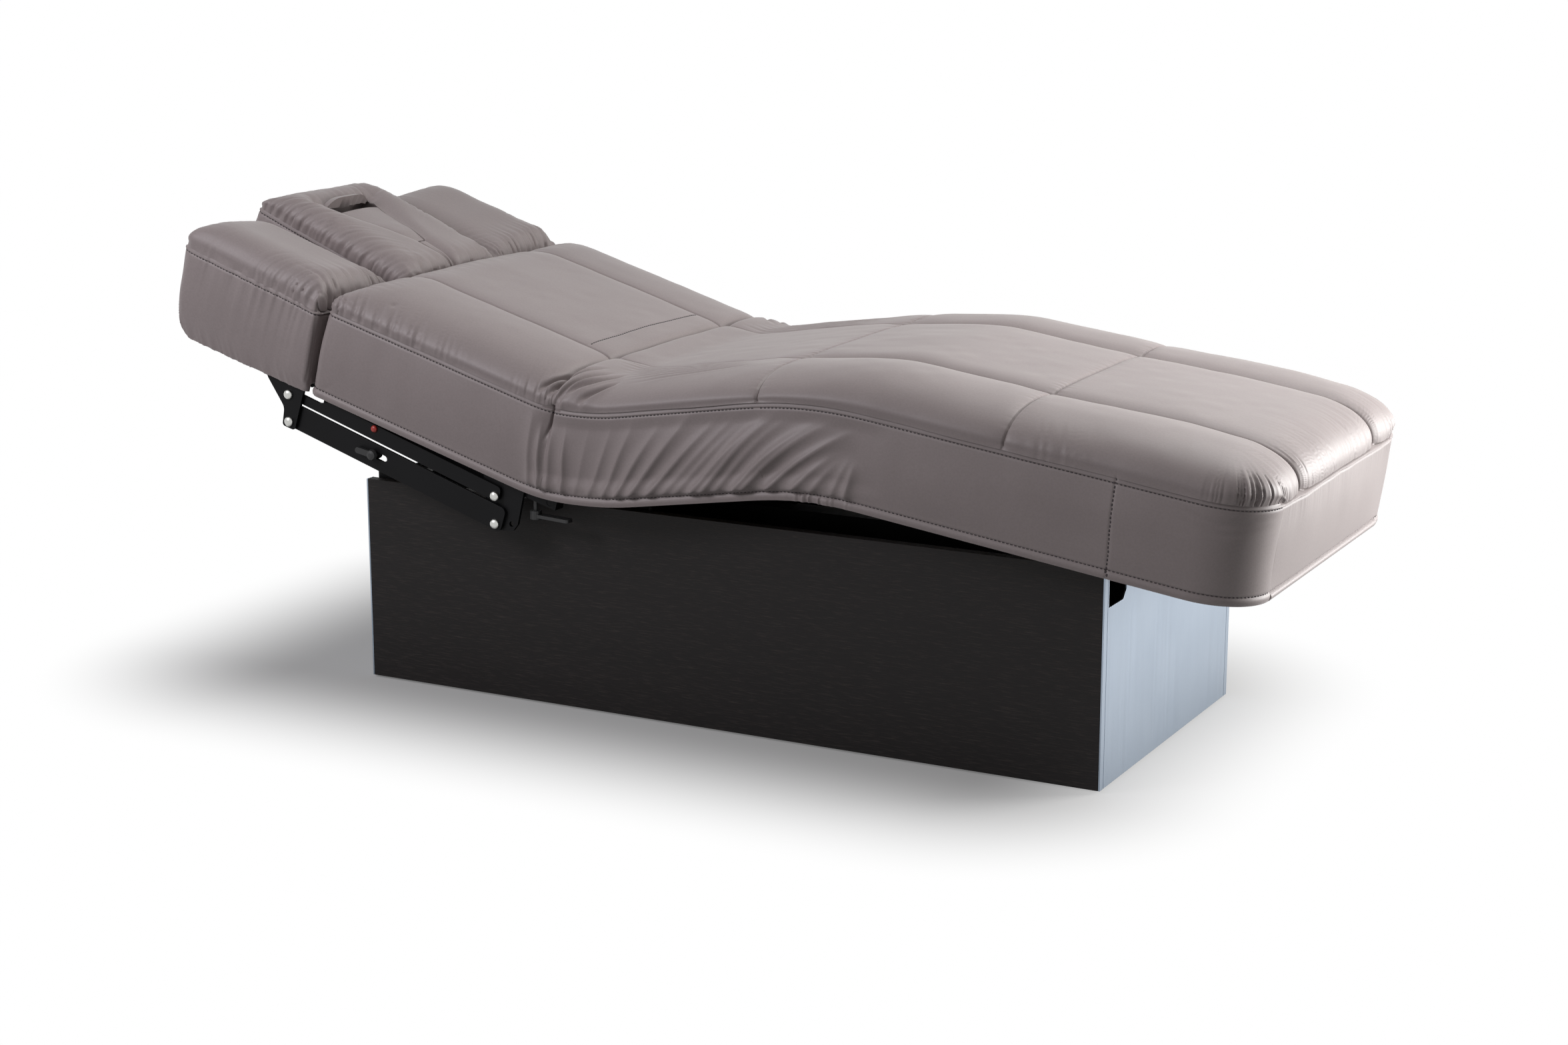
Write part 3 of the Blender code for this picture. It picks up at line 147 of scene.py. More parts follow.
# End plates and lifting columns: satin anodised aluminium, the plates folded from 3 mm sheet
# with a groove beside each edge, the columns extruded. Anodising leaves a soft, bluish sheen.
def anodised_aluminium():
    """Anodised aluminium: a matt etched skin with the faint lines of the rolled sheet, drawn about ten
    times as wide as the real 0.2 mm so that they show."""
    material, tree, shader, place = new_material("anodised_aluminium")
    line_wide, line_long, cloud_size = 0.0022, 1 / 3, 0.12
    lines = add_node(tree, "Mapping", {"Vector": place,
                                       "Scale": (1 / line_wide, 1 / line_wide, 1 / line_long)})
    rolled = add_node(tree, "TexNoise", {"Vector": lines.outputs[0], "Scale": 1.0, "Detail": 2.0})
    cloud = add_node(tree, "TexNoise", {"Vector": place, "Scale": 1 / cloud_size, "Detail": 2.0})
    colour = add_node(tree, "Mix", {0: cloud.outputs["Fac"], 6: linear("#8a95a2"), 7: linear("#959fab")},
                      data_type="RGBA")
    gloss = add_node(tree, "MapRange", {"Value": rolled.outputs["Fac"], "To Min": 0.34, "To Max": 0.46})
    relief = add_node(tree, "Bump", {"Height": rolled.outputs["Fac"], "Strength": 0.06, "Distance": 0.0003})
    set_inputs(tree, shader, {"Base Color": colour.outputs[2], "Roughness": gloss.outputs[0],
                              "Normal": relief.outputs[0], "Metallic": 1.0})
    return material


aluminium = anodised_aluminium()
column_tubes = [f"column_{stage}_{end}" for stage in ("outer", "mid", "inner") for end in ("head", "foot")]
dress(aluminium, "end_plate_foot", "end_plate_head", *column_tubes)
break_edges(0.0006, "end_plate_foot", "end_plate_head")


# Floor plate, upper frame, hinge brackets and the frames of the sections: welded steel tube and
# plate under a black powder coat. So are the links, straps and brackets of the arm rests.
def black_powder_coat():
    """Powder coat: a matt black film with the fine orange peel that the melt leaves."""
    material, tree, shader, place = new_material("black_powder_coat")
    peel, patch = 0.0018, 0.05
    skin = add_node(tree, "TexNoise", {"Vector": place, "Scale": 1 / peel, "Detail": 1.0})
    wear = add_node(tree, "TexNoise", {"Vector": place, "Scale": 1 / patch, "Detail": 3.0})
    colour = add_node(tree, "Mix", {0: wear.outputs["Fac"], 6: linear("#0c0c0d"), 7: linear("#151517")},
                      data_type="RGBA")
    gloss = add_node(tree, "MapRange", {"Value": wear.outputs["Fac"], "To Min": 0.38, "To Max": 0.52})
    relief = add_node(tree, "Bump", {"Height": skin.outputs["Fac"], "Strength": 0.10, "Distance": 0.0004})
    set_inputs(tree, shader, {"Base Color": colour.outputs[2], "Roughness": gloss.outputs[0],
                              "Normal": relief.outputs[0], "Specular IOR Level": 0.12})
    return material


SIDES = (("front", -1), ("rear", 1))
powder_coat = black_powder_coat()
dress(powder_coat, "floor_plate", "upper_frame", "back_frame", "thigh_frame", "calf_frame")
linkage = [f"{part}_{side}" for side, _ in SIDES
           for part in ("hinge_bracket", "pivot_plate", "arm_link", "arm_strap", "arm_bracket")]
dress(powder_coat, *linkage)
break_edges(0.0007, *linkage)


# Levelling feet, control box, linear drives, rollers and levers: moulded black plastic with the
# dull, slightly pebbled skin of a spark-eroded mould.
def moulded_plastic():
    """Glass-filled nylon: dull black, pebbled by the mould. The pebbles are drawn five times as large as
    the real 0.3 mm, so that they show."""
    material, tree, shader, place = new_material("moulded_black_nylon")
    pebble, cloud_size = 0.0014, 0.03
    grit = add_node(tree, "TexNoise", {"Vector": place, "Scale": 1 / pebble, "Detail": 2.0})
    cloud = add_node(tree, "TexNoise", {"Vector": place, "Scale": 1 / cloud_size, "Detail": 2.0})
    colour = add_node(tree, "Mix", {0: cloud.outputs["Fac"], 6: linear("#0e0e0f"), 7: linear("#171719")},
                      data_type="RGBA")
    gloss = add_node(tree, "MapRange", {"Value": grit.outputs["Fac"], "To Min": 0.42, "To Max": 0.60})
    relief = add_node(tree, "Bump", {"Height": grit.outputs["Fac"], "Strength": 0.12, "Distance": 0.0003})
    set_inputs(tree, shader, {"Base Color": colour.outputs[2], "Roughness": gloss.outputs[0],
                              "Normal": relief.outputs[0]})
    return material


nylon = moulded_plastic()
feet = [f"levelling_foot_{side}_{end}" for side, _ in SIDES for end in ("head", "foot")]
levers = [f"{part}_{side}" for part in ("release_lever", "clamp_lever") for side, _ in SIDES]
dress(nylon, "control_box", "back_actuator", "leg_actuator", "support_roller", *feet, *levers)
break_edges(0.0007, *levers)


# Push rods and the head rest's shaft: ground steel bar, with the fine rings that grinding leaves.
# The hinge shafts of back and thigh are black like the frames they are welded to.
def ground_steel():
    """Ground steel: bright, with grinding marks drawn ten times as wide as the real 0.1 mm, to show."""
    material, tree, shader, place = new_material("ground_steel")
    mark = 0.0012
    rings = add_node(tree, "TexNoise", {"Vector": place, "Scale": 1 / mark, "Detail": 2.0})
    gloss = add_node(tree, "MapRange", {"Value": rings.outputs["Fac"], "To Min": 0.20, "To Max": 0.36})
    colour = add_node(tree, "Mix", {0: rings.outputs["Fac"], 6: linear("#b9babc"), 7: linear("#cdced0")},
                      data_type="RGBA")
    relief = add_node(tree, "Bump", {"Height": rings.outputs["Fac"], "Strength": 0.05, "Distance": 0.0002})
    set_inputs(tree, shader, {"Base Color": colour.outputs[2], "Roughness": gloss.outputs[0],
                              "Normal": relief.outputs[0], "Metallic": 1.0})
    return material


dress(ground_steel(), "head_shaft", "back_push_rod", "leg_push_rod")
dress(powder_coat, "back_shaft", "thigh_shaft")


# Boards under the cushions: raw birch plywood, its veneers showing as bands on the cut edges.
# Each is screwed to the frame of its section.
def birch_plywood():
    """Birch plywood: pale, with a drawn-out grain and darker bands on the edges."""
    material, tree, shader, place = new_material("birch_plywood")
    grain_long, grain_wide, ply = 0.12, 0.004, 0.0030
    along = add_node(tree, "Mapping", {"Vector": place, "Scale": (1 / grain_long, 1 / grain_wide, 1 / ply)})
    grain = add_node(tree, "TexNoise", {"Vector": along.outputs[0], "Scale": 1.0, "Detail": 4.0})
    colour = add_node(tree, "Mix", {0: grain.outputs["Fac"], 6: linear("#a98a63"), 7: linear("#cdb288")},
                      data_type="RGBA")
    relief = add_node(tree, "Bump", {"Height": grain.outputs["Fac"], "Strength": 0.15, "Distance": 0.0004})
    set_inputs(tree, shader, {"Base Color": colour.outputs[2], "Normal": relief.outputs[0],
                              "Roughness": 0.7})
    return material


dress(birch_plywood(), "seat_board", "back_board", "thigh_board", "calf_board", "head_board")


# Leather of the mattress and rests: soft tumbled hide, dyed taupe grey, with a satin finish.
# It lies over foam, so it swells between its seams and gathers where it is sewn or folded.
def tumbled_leather():
    """Tumbled leather: satin, clouded by the dye and flecked a little darker. Its pebbled grain is drawn
    about twice the real 1 mm, so that it shows."""
    material, tree, shader, place = new_material("tumbled_leather")
    pebble, fleck, cloud_size = 0.0021, 0.0035, 0.09
    pebbles = add_node(tree, "TexVoronoi", {"Vector": place, "Scale": 1 / pebble}, feature="SMOOTH_F1")
    flecks = add_node(tree, "TexNoise", {"Vector": place, "Scale": 1 / fleck, "Detail": 3.0})
    cloud = add_node(tree, "TexNoise", {"Vector": place, "Scale": 1 / cloud_size, "Detail": 3.0})
    dye = add_node(tree, "Mix", {0: cloud.outputs["Fac"], 6: linear("#857b7a"), 7: linear("#918786")},
                   data_type="RGBA")
    dark = add_node(tree, "MapRange", {"Value": flecks.outputs["Fac"], "From Min": 0.35, "From Max": 0.75,
                                       "To Max": 0.35})
    colour = add_node(tree, "Mix", {0: dark.outputs[0], 6: dye.outputs[2], 7: linear("#797070")},
                      data_type="RGBA")
    gloss = add_node(tree, "MapRange", {"Value": cloud.outputs["Fac"], "To Min": 0.46, "To Max": 0.58})
    relief = add_node(tree, "Bump", {"Height": pebbles.outputs["Distance"], "Strength": 0.10,
                                     "Distance": 0.0005})
    set_inputs(tree, shader, {"Base Color": colour.outputs[2], "Roughness": gloss.outputs[0],
                              "Normal": relief.outputs[0], "Sheen Weight": 0.12, "Sheen Roughness": 0.45})
    return material


leather = tumbled_leather()


# Mattress: one leather cover over foam, sewn from a top of three lanes and a deep side band with a
# bound hem. It bends at waist, hip and knee, so it is made in three lengths that meet at a seam.
WAIST, HIP, KNEE = (np.array(joints[name]["pos_m"]) for name in ("back_tilt", "thigh_raise", "knee"))
BACK_TILT, THIGH_TILT, CALF_TILT = (math.radians(angle) for angle in (16.5, 8.9, 7.8))
HALF_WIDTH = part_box("calf_cushion")[1][1]
COVER_HALF = HALF_WIDTH - 0.004         # to the edge seam; the side band swells past it
HEAD_END, FOOT_END = -0.513, 1.280      # along the mattress, from the waist
HIP_AT = HIP[0] - WAIST[0]
KNEE_AT = HIP_AT + float(np.linalg.norm(KNEE - HIP))
THIGH_SEAM, CALF_SEAM = HIP_AT + 0.315, KNEE_AT + 0.334
STRIP_SEAM = -0.090                     # stitched line across the middle lane of the back
SIDE_SEAM = KNEE_AT + 0.528             # where two lengths of the side band are joined
SIDE_SLANT, SIDE_SLANT_UP = 0.06, 0.16  # slant of that join, and the height at which it stands there
LANE = 0.200                            # seams between the three lanes, each side of the middle
HEM, SEAM = 0.009, 0.170                # heights above the line of the hinges
SIDE_TALL = SEAM - HEM                  # height of the side band
CROWN = 0.070                           # rise of the top above its seam
FOOT_CORNER, HEAD_CORNER = 0.105, 0.018
BAND = 0.013                            # bound hem
HEM_GROOVE = BAND + 0.0012              # height of the sewn groove above it
STITCH_DROP = 0.0066                    # of a row of stitches, below the edge of its seam
HEM_IN = 0.0045                         # how far a hem may be drawn in below the swell of its side
COVER_SHARP = 75                        # degrees past which an edge of the cover shows as a crease
WAIST_EASE, HIP_EASE, KNEE_EASE = 0.08, 0.07, 0.12    # half lengths over which the foam eases each bend


def noise(seed, *where):
    """Smooth value noise in one or two directions, from -1 to 1, one cell per unit."""
    table = np.random.default_rng(seed).uniform(-1, 1, (256, 256))
    cells, shares = [], []
    for axis in where:
        cell = np.floor(axis).astype(int)
        share = axis - cell
        cells.append(cell)
        shares.append(share * share * (3 - 2 * share))
    if len(where) == 1:
        cells.append(np.zeros_like(cells[0]))
        shares.append(np.zeros_like(shares[0]))
    (i, j), (u, v) = cells, shares
    near = table[i % 256, j % 256] * (1 - u) + table[(i + 1) % 256, j % 256] * u
    far = table[i % 256, (j + 1) % 256] * (1 - u) + table[(i + 1) % 256, (j + 1) % 256] * u
    return near * (1 - v) + far * v


def tucks(seed, along, spacing):
    """Uneven gathers along a seam: narrow ridges between wider hollows."""
    return (1 - np.abs(noise(seed, along / spacing * 1.6))) ** 2 - 0.35


def pleats(seed, along, spacing):
    """Tight gathers along a seam: round ridges with narrow valleys between them, unevenly spaced."""
    swing = np.abs(noise(seed, along / spacing * 1.6))
    return 0.8 * swing - np.exp(-(swing / 0.22) ** 2)


def bump(value, centre, width):
    """A round bump of height 1 about a centre."""
    return np.exp(-((value - centre) / width) ** 2)


def ramp(value, start, end):
    """0 before start, 1 after end, smooth between. Start may lie after end."""
    share = np.clip((value - start) / (end - start), 0, 1)
    return share * share * (3 - 2 * share)


def grid_normals(points):
    """Outward normals of a grid of points that runs head to foot and front to rear over the top."""
    along = np.gradient(points, axis=0)
    across = np.gradient(points, axis=1)
    normal = np.cross(along, across)
    return normal / np.maximum(np.linalg.norm(normal, axis=2, keepdims=True), 1e-12)


def end_stations(start, end, radii, spacing):
    """Stations along a pad, closer together where its corners turn, and how far each draws in the side."""
    corners = []
    for radius, place, way in ((radii[0], start, 1), (radii[1], end, -1)):
        turn = np.linspace(0, math.pi / 2, max(6, int(radius * math.pi / spacing)))
        corners.append((place + way * radius * (1 - np.sin(turn)), radius * (1 - np.cos(turn))))
    (first, first_in), (last, last_in) = corners
    straight = np.arange(start + radii[0], end - radii[1], spacing)
    along = np.concatenate([first[:0:-1], straight, last])
    return along, np.concatenate([first_in[:0:-1], np.zeros_like(straight), last_in])


def quads(grid):
    """Four-cornered faces over a grid of vertex numbers."""
    corners = (grid[:-1, :-1], grid[1:, :-1], grid[1:, 1:], grid[:-1, 1:])
    return np.stack([corner.ravel() for corner in corners], axis=1)


def closed_piece(name, points, faces, material, sharp=None):
    """An object from points and faces, turned outwards and smooth, with creases past a sharp angle."""
    mesh = bpy.data.meshes.new(name)
    mesh.from_pydata(np.asarray(points).tolist(), [], faces)
    mesh.validate()
    shape = bmesh.new()
    shape.from_mesh(mesh)
    bmesh.ops.recalc_face_normals(shape, faces=shape.faces)
    shape.to_mesh(mesh)
    shape.free()
    mesh.shade_smooth()
    if sharp:
        mesh.set_sharp_from_angle(angle=math.radians(sharp))
    mesh.materials.append(material)
    piece = bpy.data.objects.new(name, mesh)
    bpy.context.collection.objects.link(piece)
    return piece


def cushion_mesh(name, rings, walls, lip_lines, hole=None):
    """A closed pad from a grid of rings, a wall at each closed end and the edges of the hollow underneath.
    A wall is None where the end is only cut. A hole goes through from the top to the two middle lips;
    it has a first and last ring, a front and rear column and the rings of points down its side."""
    count, width = rings.shape[:2]
    vertices = [rings.reshape(-1, 3)]
    total = count * width
    index = np.arange(total).reshape(count, width)
    lip_index = []
    for lip in lip_lines:
        vertices.append(lip)
        lip_index.append(np.arange(total, total + count))
        total += count
    under = np.stack([index[:, -1], *lip_index, index[:, 0]], axis=1)
    keep_top = np.ones((count - 1, width - 1), bool)
    keep_under = np.ones((count - 1, under.shape[1] - 1), bool)
    if hole:
        first, last, front, rear, depths = hole
        keep_top[first:last, front:rear] = False
        keep_under[first:last, len(lip_lines) // 2] = False
    faces = quads(index)[keep_top.ravel()].tolist() + quads(under)[keep_under.ravel()].tolist()
    for ring, wall in zip((0, -1), walls):
        lip = [int(row[ring]) for row in lip_index]
        if wall is None:
            faces.append([int(i) for i in index[ring]] + lip)
            continue
        rows, columns = wall.shape[:2]
        grid = np.zeros((rows + 1, columns + 2), int)
        grid[:rows, 1:-1] = np.arange(total, total + rows * columns).reshape(rows, columns)
        vertices.append(wall.reshape(-1, 3))
        total += rows * columns
        grid[:rows, 0] = index[ring, :rows]
        grid[:rows, -1] = index[ring, ::-1][:rows]
        grid[rows] = index[ring, rows:rows + columns + 2]
        faces += quads(grid).tolist()
        faces.append([int(i) for i in grid[0]] + [lip[0], lip[-1]])
        faces.append([lip[-1], lip[0]] + lip[1:-1])
    if hole:
        sides = [(i, front) for i in range(first, last)] + [(last, j) for j in range(front, rear)]
        sides += [(i, rear) for i in range(last, first, -1)] + [(first, j) for j in range(rear, front, -1)]
        loop = np.array([index[place] for place in sides])
        for depth in depths:
            vertices.append(depth)
            ring = np.arange(total, total + len(loop))
            total += len(loop)
            faces += quads(np.stack([np.append(loop, loop[0]), np.append(ring, ring[0])], axis=1)).tolist()
            loop = ring
        long, short = last - first, rear - front
        low_rear, low_front = lip_index[len(lip_lines) // 2 - 1], lip_index[len(lip_lines) // 2]
        front_run, rear_run = loop[:long + 1], loop[long + short:2 * long + short + 1]
        faces += quads(np.stack([front_run, low_front[first:last + 1]], axis=1)).tolist()
        faces += quads(np.stack([rear_run, low_rear[first:last + 1][::-1]], axis=1)).tolist()
        faces.append(loop[long:long + short + 1].tolist() + [int(low_rear[last]), int(low_front[last])])
        far_end = [int(loop[0]), int(low_front[first]), int(low_rear[first])]
        faces.append(loop[2 * long + short:].tolist() + far_end)
    return closed_piece(name, np.concatenate(vertices), faces, leather, sharp=COVER_SHARP)


def mattress_line(t):
    """Point and upward normal of the line of the hinges, with its bends eased as foam eases them."""
    fine = np.linspace(HEAD_END - 0.1, FOOT_END + 0.1, 4001)
    slope = -BACK_TILT * (1 - ramp(fine, -WAIST_EASE, WAIST_EASE))
    slope += THIGH_TILT * ramp(fine, HIP_AT - HIP_EASE, HIP_AT + HIP_EASE)
    slope -= (THIGH_TILT + CALF_TILT) * ramp(fine, KNEE_AT - KNEE_EASE, KNEE_AT + KNEE_EASE)
    step = fine[1] - fine[0]
    x = np.cumsum(np.cos(slope)) * step
    z = np.cumsum(np.sin(slope)) * step
    x += WAIST[0] + HEAD_END * math.cos(BACK_TILT) - np.interp(HEAD_END, fine, x)
    z += WAIST[2] - HEAD_END * math.sin(BACK_TILT) - np.interp(HEAD_END, fine, z)
    angle = np.interp(t, fine, slope)
    return np.interp(t, fine, x), np.interp(t, fine, z), -np.sin(angle), np.cos(angle)


def on_mattress(points):
    """Bends points (along, across, up) of the straight mattress to the pose it stands in."""
    x, z, normal_x, normal_z = mattress_line(points[..., 0])
    up = points[..., 2]
    return np.stack([x + normal_x * up, points[..., 1], z + normal_z * up], axis=-1)


def refine(stations, places, reach, finest):
    """Puts closer stations about some places, so that a seam there has enough of them."""
    for place in places:
        stations = stations[np.abs(stations - place) > reach]
        stations = np.concatenate([stations, np.arange(place - reach, place + reach * 1.01, finest)])
    return np.sort(stations)


def pad_grid(stations, inset, middle, half, hem, seam, up_side, over_top, bulge):
    """Grid of a pad in its own straight frame, from the front hem over the top to the rear hem.
    Gives the points (along, across, up), the share up the side and the distance in from the seam."""
    reach = (half - inset)[:, None]
    swell = np.maximum(bulge * (1 - (2 * up_side - 1.1) ** 2) - bulge * 0.8, -HEM_IN)
    across = np.concatenate([-(reach + swell), over_top * reach, reach + swell[::-1]], axis=1)
    share = np.tile(np.concatenate([up_side, np.ones_like(over_top), up_side[::-1]]), (len(stations), 1))
    along = np.broadcast_to(stations[:, None], share.shape)
    points = np.stack([along, middle + across, hem + share * (seam - hem)], axis=2)
    below = np.tile(-(1 - up_side) * (seam - hem), (len(stations), 1))
    inside = np.concatenate([below, (1 - np.abs(over_top)) * reach, below[:, ::-1]], axis=1)
    return points, share, inside


def side_rows(height, fine_low=BAND):
    """Shares up a side, closer together at the hem and below the seam."""
    low = np.arange(0, fine_low + 0.006, 0.0016)
    high = height - np.array([0.0008, 0.0018, 0.003, 0.0042, 0.0054, 0.0066, 0.0078, 0.0095, 0.012])[::-1]
    middle = np.arange(low[-1] + 0.0025, high[0] - 0.002, 0.0033)
    return np.concatenate([low, middle, high]) / height


def top_columns(half, seams=()):
    """Shares across a top from -1 to 1, closer together at its edges and its seams."""
    edge = np.concatenate([[0, 0.0009, 0.0020, 0.0034], np.arange(0.0052, 0.046, 0.0020)])
    inner_half = half - 0.049
    inner = np.linspace(-inner_half, inner_half, int(inner_half / 0.0018))
    inner = refine(inner, seams, reach=0.008, finest=0.0015)
    return np.concatenate([-half + edge, inner, half - edge[::-1]]) / half


def rise_from(edge, reach, steep, blunt):
    """A round rise from 0 at an edge to 1 at some reach from it."""
    return (1 - (1 - np.clip(edge / reach, 0, 1)) ** steep) ** blunt


def crown(inside, reach):
    """Rise of a pad above its seam, steep at first and nearly flat in the middle."""
    return rise_from(inside, reach, 2.6, 0.5)


def both(one, two):
    """Two rises that meet at a corner: a little less than the smaller of them."""
    one, two = np.maximum(one, 1e-6), np.maximum(two, 1e-6)
    return one * two / (one ** 3 + two ** 3 - (one * two) ** 3) ** (1 / 3)


SIDES_APART = 3                         # keeps the patterns of the two sides apart


def round_edge(t, y, end, half, radius):
    """How far along a round-cornered edge a point lies, and how far inside that edge."""
    by_end, by_side = t - (end - radius), np.abs(y) - (half - radius)
    corner = (by_end > 0) & (by_side > 0)
    straight = np.where(by_side >= by_end, by_end, radius * math.pi / 2 - by_side)
    along = np.where(corner, np.arctan2(by_end, by_side) * radius, straight)
    inside = radius - np.where(corner, np.hypot(by_end, by_side), np.maximum(by_end, by_side))
    return (along + SIDES_APART) * np.sign(y + 1e-9), inside


# Where each fold of the side band starts at the hem, along the mattress.
FOLDS = (-0.034, -0.010, 0.014, 0.040, 0.066, 0.093, 0.120, 0.150, 0.181, 0.212, 0.240,
         0.268, 0.298, 0.322, 0.348, 0.374, 0.400, 0.440, 0.482, 0.520, 0.556, 0.588)
FOLD_DEEP, FOLD_TALL, FOLD_CREST = 0.0130, 0.172, 0.0022


def side_folds(t, up, seed):
    """Folds of the side band under the seat: crests that run up from the hem and die out below the seam,
    nearly upright at the waist and the knee and leaning towards the foot end between them."""
    pick = np.random.default_rng(seed)
    total = np.zeros_like(t)
    for place in FOLDS:
        start = place + pick.uniform(-0.005, 0.005)
        lean = -0.2 + 1.4 * ramp(place, -0.03, 0.22) - 1.0 * ramp(place, 0.44, 0.60)
        lean += pick.uniform(-0.08, 0.08)
        reach = (FOLD_TALL - 0.070 * ramp(place, 0.40, 0.50)) * pick.uniform(0.85, 1.0)
        deep = FOLD_DEEP * pick.uniform(0.45, 1.0) * (1 - 0.55 * bump(place, 0.075, 0.040))
        wide = pick.uniform(0.0060, 0.0085) * (1 + 0.6 * up / 0.16)
        off = (t - start - lean * (up - BAND)) / math.hypot(1, lean)
        crest = np.exp(-(np.hypot(off, FOLD_CREST) - FOLD_CREST) / wide)
        total += deep * crest * ramp(up, reach, 0.45 * reach) * ramp(up, BAND, BAND + 0.010)
    return total


def creases(t, y, strokes, deep, wide):
    """Creases pressed into the top: each stroke (along, across, along, across) is a line that tapers out."""
    total = np.zeros_like(t)
    for t0, y0, t1, y1 in strokes:
        length = math.hypot(t1 - t0, y1 - y0)
        share = ((t - t0) * (t1 - t0) + (y - y0) * (y1 - y0)) / length ** 2
        off = ((t - t0) * (y1 - y0) - (y - y0) * (t1 - t0)) / length
        bow = off - 0.10 * length * (share - share ** 2)
        taper = ramp(share, -0.05, 0.25) * ramp(share, 1.05, 0.6)
        total += deep * taper * (0.55 * bump(bow, 0, 2.8 * wide) - 1.4 * bump(bow, 0, wide))
    return total


def sewn_edge(inside):
    """A top-stitched seam: a groove at the edge, a narrow bead below it and the dent of the stitches."""
    groove, bead = 0.0042 * bump(inside, 0.0, 0.0021), 0.0013 * bump(inside, -0.0036, 0.0017)
    return bead - groove - 0.0016 * bump(inside, -STITCH_DROP, 0.0014)


def hem_band(up):
    """The bound hem: a round band with a sewn groove above it."""
    return 0.0020 * bump(up, BAND / 2, BAND * 0.42) - 0.0022 * bump(up, HEM_GROOVE, 0.0018)


def slack(t, y, up, top, rear):
    """Soft unevenness of leather over foam, held still at the hem."""
    loose = np.where(top, 1, ramp(up, 0.005, 0.050))
    over = 0.0011 * noise(3, t / 0.11, y / 0.10 + 40) + 0.0004 * noise(4, t / 0.034, y / 0.03 + 40)
    return loose * (over + np.where(top, 0, 0.0012) * noise(5, t / 0.09 + rear * 31, up / 0.06))


def side_seam_at(up):
    """Where the slanting join of the side band lies at some height."""
    return SIDE_SEAM + SIDE_SLANT * (SIDE_SLANT_UP - up)


def cover_seams(t, y, up, top, rear):
    """Seams between the lanes, across thigh and calf, at the strip by the waist and down the side band."""
    seat = ramp(t, 0.02, 0.12) * ramp(t, THIGH_SEAM + 0.01, THIGH_SEAM - 0.05)
    lane = np.abs(y) - LANE - 0.006 * seat * noise(6, t / 0.05 + rear * 17)
    lane_deep = (0.75 + 0.75 * ramp(t, THIGH_SEAM - 0.06, THIGH_SEAM + 0.10)) * (1 - 0.70 * seat)
    out = -lane_deep * (0.0036 * bump(lane, 0, 0.0021) + 0.0085 * np.exp(-np.abs(lane) / 0.015))
    for seam in (THIGH_SEAM, CALF_SEAM):
        off = t - seam
        out -= 0.0032 * bump(off, 0, 0.0019) + 0.0034 * np.exp(-np.abs(off) / 0.012)
        out += 0.0014 * pleats(7, y, 0.010) * bump(off, 0, 0.013) * (0.25 + bump(np.abs(y), LANE, 0.05))
    out -= np.where(np.abs(y) < LANE - 0.004, 0.0012, 0) * bump(t, STRIP_SEAM, 0.0022)
    return np.where(top, out, -0.0016 * bump(t, side_seam_at(up), 0.0020))


def waist_fold(t, y, up, share, inside):
    """The deep fold at the waist, which runs on down the side as a short slanting crease."""
    top = inside > 0
    off = t + 0.004 - 0.012 * bump(y, 0, 0.25)
    deep = np.where(top, 0.020 * ramp(inside, -0.02, 0.06), 0.0075 * ramp(share, 0.15, 0.95))
    wide = np.where(off < 0, 0.020, 0.014)
    crease = t - 0.002 + 0.24 * (SIDE_TALL - up)
    crease_deep = np.where(top, 0, 0.0065) * ramp(up, 0.095, 0.140)
    return -deep * np.exp(-np.abs(off) / wide) - crease_deep * bump(crease, 0, 0.0034)


def edge_gathers(t, y, inside, rear):
    """Gathers along the edge seam: at the head end, down the sides of the back, at waist and calf."""
    top = inside > 0
    by_head = np.maximum(t - HEAD_END, 0)
    head = np.exp(-(by_head / 0.038) ** 1.5) * pleats(8, y + 0.15 * by_head, 0.0125)
    gathered = ramp(t, -0.16, -0.36) + 0.6 * bump(t, -0.06, 0.06) + 0.4 * bump(t, CALF_SEAM + 0.08, 0.06)
    by_seam = np.exp(-(np.abs(inside) / 0.034) ** 1.3)
    side = gathered * by_seam * pleats(9, t + 0.45 * inside + 7 * rear, 0.0125)
    return np.where(top, 0.0030, 0.0008) * head + np.where(top, 0.0026, 0.0003) * side


def foot_gathers(t, y, up, top):
    """Gathers round the foot end, tightest at its corners, and two sags of the side band below them."""
    edge, edge_in = round_edge(t, y, FOOT_END, COVER_HALF, FOOT_CORNER)
    arc = np.abs(edge) - SIDES_APART
    edge_in = np.maximum(edge_in, 0)
    tight = (0.08 + bump(arc, 0.100, 0.062)) * np.exp(-(edge_in / 0.026) ** 1.5) * pleats(10, edge, 0.0100)
    fine = ramp(arc, 0.06, 0.15) * np.exp(-(edge_in / 0.075) ** 2) * pleats(11, edge, 0.0065)
    out = np.where(top, ramp(arc, -0.08, 0.03), 0) * (0.0036 * tight + 0.0006 * fine)
    for drop, deep in ((0.020, 0.0028), (0.034, 0.0022)):
        sag = SIDE_TALL - drop - 0.012 * bump(arc, 0.045, 0.05)
        out -= np.where(top, 0, deep) * bump(up, sag, 0.0055) * bump(arc, 0.045, 0.055)
    return out


def side_drape(t, up, rear):
    """The side band under the seat: its folds, drawn in between hem and seam, and its crumpled hem at the
    knee."""
    folds = side_folds(t, up, 21) * (1 - rear) + side_folds(t, up, 22) * rear
    drawn_in = ramp(t, -0.06, 0.0) * ramp(t, 0.66, 0.58) * ramp(up, 0.026, 0.050) * ramp(up, 0.158, 0.130)
    knee_hem = bump(t, KNEE_AT + 0.020, 0.050) * ramp(up, 0.024, 0.006) * tucks(12, t, 0.013)
    return folds - 0.0065 * drawn_in + 0.0060 * knee_hem


